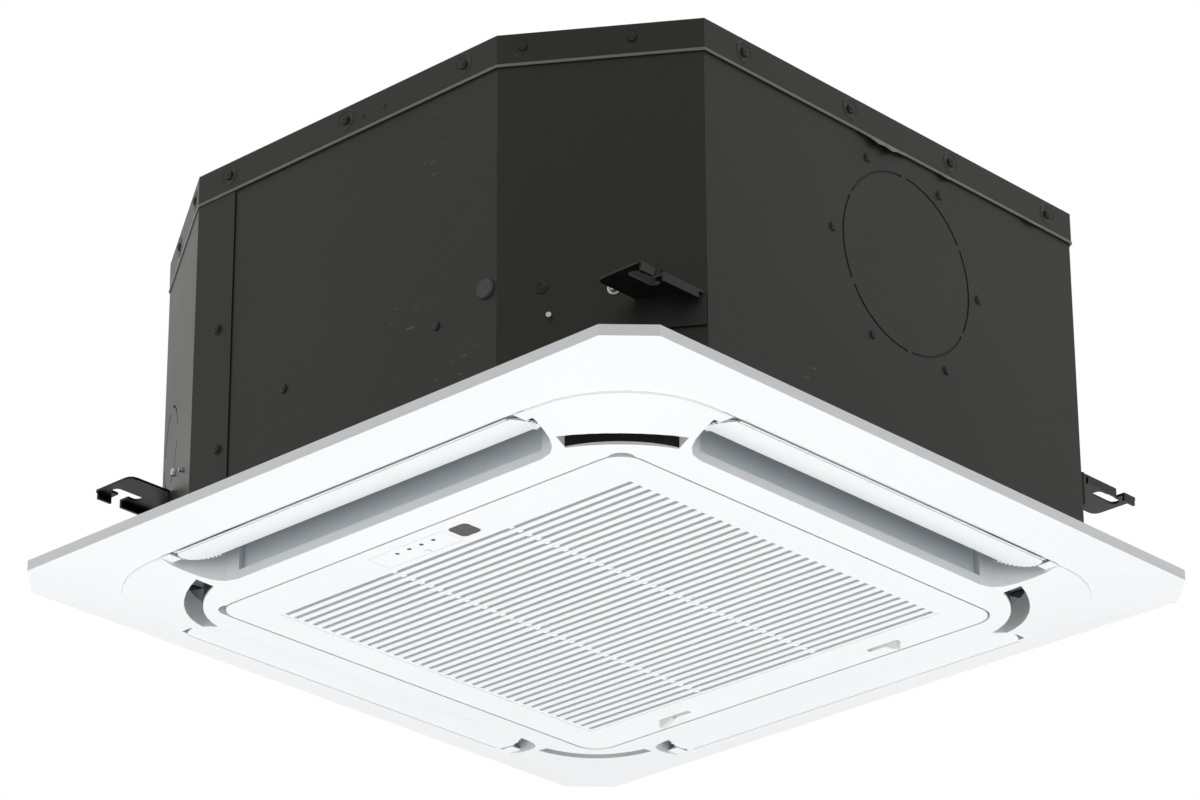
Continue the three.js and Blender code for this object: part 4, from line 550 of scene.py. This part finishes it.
def flange_screw_places():
    height = TOP_HIGH[2] - FLANGE_SCREW_DROP
    for sign in (-1, 1):
        for across in FRONT_FLANGE_SCREWS:
            yield on_face("Y", sign, across, height)
        for across in SIDE_FLANGE_SCREWS:
            yield on_face("X", sign, across, height)
    for sign_x in (-1, 1):
        for along in CHAMFER_FLANGE_SCREWS:
            yield on_corner(FRONT_CORNER, sign_x, -1, along, height)
            yield on_corner(REAR_CORNER, sign_x, 1, along, height)


def wall_screw_places(inset):
    for across, height in FRONT_WALL_SCREWS:
        proud = 0.0 if across < COVER_SEAM_X else inset
        yield on_face("Y", -1, across, height, proud)
    for i in range(6):
        angle = math.radians(60 * i)
        across = KNOCKOUT_Y + KNOCKOUT_SCREW_CIRCLE / 2 * math.cos(angle)
        yield on_face("X", 1, across, KNOCKOUT_Z + KNOCKOUT_SCREW_CIRCLE / 2 * math.sin(angle), inset)


def casing_fasteners():
    inset = FLANGE - WALL
    heads, recess_shades, rings = bmesh.new(), bmesh.new(), bmesh.new()
    for place in flange_screw_places():
        dimple(rings, place)
        pan_screw(heads, recess_shades, place, SCREW_RADIUS)
    for place in wall_screw_places(inset):
        # A dark ring round each wall screw: painted shade of the recess it sits in.
        washer = [(1.45 * SMALL_SCREW_RADIUS, 0.02 * MM), (0.9 * SMALL_SCREW_RADIUS, 0.06 * MM)]
        lathe(recess_shades, washer, place)
        pan_screw(heads, recess_shades, place, SMALL_SCREW_RADIUS)
    for across in FRONT_RIVETS:
        place = on_face("Y", -1, across, TOP_HIGH[2] - FLANGE_SCREW_DROP - 3 * MM)
        lathe(heads, [(RIVET_RADIUS, 0), (0.8 * RIVET_RADIUS, 0.7 * MM), (0, 1 * MM)], place, 12)
    near = on_corner(FRONT_CORNER, 1, -1, NEAR_SCREW_ALONG, NEAR_SCREW_Z, inset)
    dimple(rings, near, 0.8 * DIMPLE_RADIUS)
    pan_screw(heads, recess_shades, near, SMALL_SCREW_RADIUS)
    plug = on_corner(FRONT_CORNER, 1, -1, CHAMFER_PLUG_ALONG, CHAMFER_PLUG_Z, inset)
    radius = CHAMFER_PLUG_RADIUS
    rim = [(radius, 0), (radius, 0.8 * MM), (0.8 * radius, 1.1 * MM)]
    lathe(heads, rim + [(0.6 * radius, 0.3 * MM), (0, 0.3 * MM)], plug)
    piece("casing_screws", heads, materials["bracket_paint"].material)
    piece("casing_screw_recess_shades", recess_shades, recess_shade_material)
    piece("flange_dimples", rings, materials["casing_paint"].material)


# ---- Hem of the flange ----


def hem_outline():
    """Points round the flange, with the outward normal at each."""
    corners = []
    for sign_x, sign_y in ((1, -1), (1, 1), (-1, 1), (-1, -1)):
        corner = FRONT_CORNER if sign_y < 0 else REAR_CORNER
        ends = corner_ends(corner, sign_x, sign_y, 0.0)
        corners += ends if sign_x * sign_y < 0 else ends[::-1]
    for start, end in zip(corners, corners[1:] + corners[:1]):
        count = max(1, round((end - start).length / HEM_STEP))
        direction = (end - start).normalized()
        normal = Vector((direction.y, -direction.x, 0))
        for i in range(count):
            yield start + (end - start) * (i / count), normal


def hem_bend(point):
    """How far the hem is bent away from its line: only on the +X face."""
    if point.x < FLANGE - 1 * MM:
        return 0.0
    bend = 0.0
    for middle, half, depth in (HEM_TEAR, *HEM_LIFTS):
        share = max(0.0, 1 - abs(point.y - middle) / half)
        bend += depth * share * share * (3 - 2 * share)
    return bend * (0.8 + 0.2 * math.sin(point.y / HEM_RIPPLE))


def flange_hem():
    """A thin rolled edge along the flange's lower rim."""
    mesh = bmesh.new()
    loops = []
    bottom = TOP_LOW[2]
    for point, normal in hem_outline():
        bend = hem_bend(point)
        section = (
            (0.0, 0.0),
            (HEM_PROUD + 0.45 * bend, 0.1 * HEM_HEIGHT - 0.8 * bend),
            (HEM_PROUD + 0.35 * bend, 0.8 * HEM_HEIGHT - 0.45 * bend),
            (0.0, HEM_HEIGHT),
        )
        edge = point + Vector((0, 0, bottom))
        loops.append([mesh.verts.new(edge + normal * out + Vector((0, 0, up))) for out, up in section])
    for here, following in zip(loops, loops[1:] + loops[:1]):
        for i in range(3):
            mesh.faces.new((here[i], following[i], following[i + 1], here[i + 1]))
    piece("flange_hem", mesh, hem_material)


# ---- Grille, display and flaps ----


def louvre_bridges():
    """White webs that close the louvres' slots along two lines."""
    mesh = bmesh.new()
    flat = Matrix.Identity(4)
    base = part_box("intake_grille")[0][2] + LOUVRE_WEB_RECESS
    for side in (-1, 1):
        for i in range(LOUVRE_COUNT):
            middle = LOUVRE_START + i * LOUVRE_PITCH
            shift = side * LOUVRE_WEB_X
            low = (shift - LOUVRE_WEB_HALF, middle - LOUVRE_SLOT_HALF, base)
            high = (shift + LOUVRE_WEB_HALF, middle + LOUVRE_SLOT_HALF, base + LOUVRE_WEB_DEPTH)
            block(mesh, flat, low, high)
    piece("louvre_webs", mesh, materials["white_plastic"].material, "grille")


def flap_height(along):
    """Height of the blade's lower face at a distance from its outer edge."""
    share = along / FLAP_CHORD
    bow = -4 * FLAP_CAMBER * share * (1 - share)
    return FLAP_OUTER_Z + along * math.sin(FLAP_TILT) + bow * math.cos(FLAP_TILT)


def rounded_end(share):
    """A point on the blade's rounded end: half length, and distance from the outer edge."""
    start = (FLAP_WIDEST_HALF, FLAP_ROUND_FROM)
    bend = (FLAP_WIDEST_HALF - 2 * MM, FLAP_CHORD - 2 * MM)
    end = (FLAP_INNER_HALF, FLAP_CHORD)
    weights = ((1 - share) ** 2, 2 * share * (1 - share), share**2)
    return tuple(sum(w * point[i] for w, point in zip(weights, (start, bend, end))) for i in (0, 1))


def flap_trim():
    """Small teeth along the rounded ends of each blade, and a bead along its outer edge."""
    for index, side in enumerate(SIDES):
        turn = Matrix.Rotation(index * math.pi / 2, 4, "Z")
        mesh = bmesh.new()
        for hand in (-1, 1):
            for i in range(FLAP_TEETH):
                share = (i + 0.5) / FLAP_TEETH
                x, along = rounded_end(share)
                ahead_x, ahead_along = rounded_end(share + 0.01)
                outward = Vector((hand * (ahead_along - along), x - ahead_x, 0)).normalized()
                root = Vector((hand * x, -FLAP_OUTER + along, flap_height(along) + 0.1 * MM))
                place = turn @ facing(root, outward)
                half = TOOTH_WIDTH / 2
                block(mesh, place, (-half, 0, -0.8 * MM), (half, 1.2 * MM, TOOTH_LENGTH), 0.3 * MM)
        low = (-FLAP_OUTER_HALF, -FLAP_OUTER - BEAD_REACH, FLAP_OUTER_Z)
        high = (FLAP_OUTER_HALF, -FLAP_OUTER + BEAD_THICK, FLAP_OUTER_Z + BEAD_THICK)
        block(mesh, turn, low, high, 0.2 * MM)
        material = materials["white_plastic"].material
        piece("flap_trim_" + side, mesh, material, f"flap_{side}_body")


def outlet_lips():
    """A thin lip on the panel along the outer edge of each outlet, and a cover over each pivot."""
    mesh = bmesh.new()
    for index in range(4):
        turn = Matrix.Rotation(index * math.pi / 2, 4, "Z")
        for hand in (-1, 1):
            ends = sorted((hand * (FLAP_WIDEST_HALF + PIVOT_COVER_GAP), hand * OUTLET_HALF))
            low = (ends[0], -OUTLET_OUTER, PIVOT_COVER_Z)
            high = (ends[1], -OUTLET_OUTER + PIVOT_COVER_DEPTH, PIVOT_COVER_Z + 0.8 * MM)
            block(mesh, turn, low, high)
        low = (-FLAP_OUTER_HALF, -OUTLET_OUTER - 0.3 * MM, FLAP_OUTER_Z)
        high = (FLAP_OUTER_HALF, -OUTLET_OUTER + OUTLET_LIP, FLAP_OUTER_Z + 0.5 * MM)
        block(mesh, turn, low, high)
    piece("outlet_lips", mesh, materials["white_plastic"].material)


def knockout_shadows():
    """Dark arcs set inside the slits of the large knock-out: painted shadow."""
    mesh = bmesh.new()
    plane = WALL - 0.7 * MM
    outer = KNOCKOUT_DIAMETER / 2 + 0.3 * MM
    inner = outer - KNOCKOUT_SLIT - 0.6 * MM
    for i in range(6):
        middle = math.radians(60 * i)
        half = math.radians(KNOCKOUT_ARC / 2)
        steps = 14
        rows = []
        for k in range(steps + 1):
            angle = middle - half + 2 * half * k / steps
            rows.append([
                mesh.verts.new((plane, KNOCKOUT_Y + r * math.cos(angle), KNOCKOUT_Z + r * math.sin(angle)))
                for r in (inner, outer)
            ])
        for here, following in zip(rows, rows[1:]):
            mesh.faces.new((here[0], following[0], following[1], here[1]))
    piece("knockout_slit_shadows", mesh, recess_shade_material)


def bracket_bolts():
    """A hexagon bolt over each bracket's plate and a stud end under it."""
    mesh = bmesh.new()
    inset = FLANGE - WALL
    for sign_x in (-1, 1):
        places = ((FRONT_CORNER, -1, FRONT_BOLT_ALONG), (REAR_CORNER, 1, REAR_BOLT_ALONG))
        for corner, sign_y, along in places:
            head = on_corner(corner, sign_x, sign_y, along, BOLT_Z, inset)
            washer = 1.5 * BOLT_RADIUS
            lathe(mesh, [(washer, 0), (washer, 0.8 * MM), (0, 0.8 * MM)], head, 20)
            sides = [(BOLT_RADIUS, 0), (BOLT_RADIUS, 3 * MM)]
            lathe(mesh, sides + [(0.85 * BOLT_RADIUS, 3.6 * MM), (0, 3.6 * MM)], head, 6)
            stud = on_corner(corner, sign_x, sign_y, along - STUD_ASIDE, STUD_Z, inset)
            lathe(mesh, [(STUD_RADIUS, 0), (STUD_RADIUS, 4 * MM), (0, 4.6 * MM)], stud, 12)
    piece("bracket_bolts", mesh, materials["plated_steel"].material)


def status_lights():
    """Four dark lenses in the display cover."""
    mesh = bmesh.new()
    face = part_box("display_cover")[0][2]
    for i in range(LIGHT_COUNT):
        place = facing((LIGHT_FIRST_X + i * LIGHT_PITCH, LIGHT_Y, face), (0, 0, -1), (0, 1, 0))
        lathe(mesh, [(LIGHT_RADIUS, -0.3 * MM), (LIGHT_RADIUS, 0.05 * MM), (0, 0.25 * MM)], place, 16)
    piece("status_lights", mesh, materials["smoke_window"].material, "grille")


# ---- Filter net ----


def filter_net():
    """Crossed threads stretched over the filter's frame."""
    low, high = (Vector(corner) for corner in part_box("air_filter"))
    middle = (low.z + high.z) / 2
    border = 4 * MM
    mesh = bmesh.new()
    flat = Matrix.Identity(4)
    half = NET_THREAD / 2
    count = int((high.x - low.x - 2 * border) / NET_PITCH)
    for i in range(1, count):
        x = low.x + border + i * NET_PITCH
        start = (x - half, low.y + border, middle)
        end = (x + half, high.y - border, middle + NET_THREAD)
        block(mesh, flat, start, end)
    count = int((high.y - low.y - 2 * border) / NET_PITCH)
    for i in range(1, count):
        y = low.y + border + i * NET_PITCH
        start = (low.x + border, y - half, middle - NET_THREAD)
        end = (high.x - border, y + half, middle)
        block(mesh, flat, start, end)
    piece("filter_net", mesh, filter_material, "grille")


# ---- Studio ----


def add_camera():
    angles = (CAMERA_AZIMUTH, CAMERA_ELEVATION, CAMERA_ROLL)
    azimuth, elevation, roll = (math.radians(angle) for angle in angles)
    flat = Vector((-math.sin(azimuth), math.cos(azimuth), 0))
    forward = flat * math.cos(elevation) + Vector((0, 0, math.sin(elevation)))
    level = Vector((math.cos(azimuth), math.sin(azimuth), 0))
    upright = level.cross(forward)
    right = level * math.cos(roll) + upright * math.sin(roll)
    up = upright * math.cos(roll) - level * math.sin(roll)
    data = bpy.data.cameras.new("camera")
    data.lens = LENS
    data.sensor_width = SENSOR
    data.clip_end = 100
    camera = bpy.data.objects.new("camera", data)
    turn = Matrix((right, up, -forward)).transposed().to_4x4()
    camera.matrix_world = Matrix.Translation(CAMERA_PLACE) @ turn
    bpy.context.scene.collection.objects.link(camera)
    bpy.context.scene.camera = camera


def area_lamp(name, place, size, power):
    data = bpy.data.lights.new(name, "AREA")
    data.size = size
    data.energy = power
    lamp = bpy.data.objects.new(name, data)
    lamp.location = place
    lamp.rotation_euler = (Vector((0, 0, 0.1)) - Vector(place)).to_track_quat("-Z", "Y").to_euler()
    bpy.context.scene.collection.objects.link(lamp)


def white_to_the_camera(tree, shader_output, target, kind):
    """White where the camera, glossy or clear rays look straight at it, and the given shader elsewhere."""
    path = tree.nodes.new("ShaderNodeLightPath")
    seen = path.outputs["Is Camera Ray"]
    for ray in ("Is Glossy Ray", "Is Transmission Ray"):
        either = tree.nodes.new("ShaderNodeMath")
        either.operation = "MAXIMUM"
        tree.links.new(seen, either.inputs[0])
        tree.links.new(path.outputs[ray], either.inputs[1])
        seen = either.outputs[0]
    white = tree.nodes.new(kind)
    white.inputs["Color"].default_value = (1, 1, 1, 1)
    mix = tree.nodes.new("ShaderNodeMixShader")
    tree.links.new(seen, mix.inputs[0])
    tree.links.new(shader_output, mix.inputs[1])
    tree.links.new(white.outputs[0], mix.inputs[2])
    tree.links.new(mix.outputs[0], target)


def studio():
    world = bpy.data.worlds.new("studio")
    world.use_nodes = True
    tree = world.node_tree
    ambient = tree.nodes["Background"]
    ambient.inputs["Color"].default_value = (1, 1, 1, 1)
    ambient.inputs["Strength"].default_value = 0.34
    sky = tree.nodes["World Output"].inputs["Surface"]
    white_to_the_camera(tree, ambient.outputs[0], sky, "ShaderNodeBackground")
    bpy.context.scene.world = world

    floor_mesh = bmesh.new()
    bmesh.ops.create_grid(floor_mesh, x_segments=8, y_segments=8, size=15)
    data = bpy.data.meshes.new("studio_floor")
    floor_mesh.to_mesh(data)
    floor_mesh.free()
    paper = Surface("studio_paper", 0.9)
    paper.colour(paper.blend(paper.noise(2.0, 2), linear(238, 238, 238), linear(243, 243, 243)))
    face = paper.tree.nodes["Material Output"].inputs["Surface"]
    white_to_the_camera(paper.tree, paper.shader.outputs[0], face, "ShaderNodeEmission")
    data.materials.append(paper.material)
    floor = bpy.data.objects.new("studio_floor", data)
    floor.location.z = -3.9
    bpy.context.scene.collection.objects.link(floor)

    area_lamp("key_lamp", (-1.4, -3.4, -0.9), 2.0, 26)
    area_lamp("side_lamp", (3.4, 1.0, -0.6), 2.0, 22)
    area_lamp("under_lamp", (0.4, -0.4, -3.2), 2.6, 88)
    area_lamp("top_lamp", (-0.5, 0.8, 3.0), 2.0, 34)


dress_cad_nodes()
casing_fasteners()
flange_hem()
knockout_shadows()
bracket_bolts()
flap_trim()
outlet_lips()
louvre_bridges()
status_lights()
filter_net()
add_camera()
studio()

view = bpy.context.scene.view_settings
view.view_transform = "Standard"
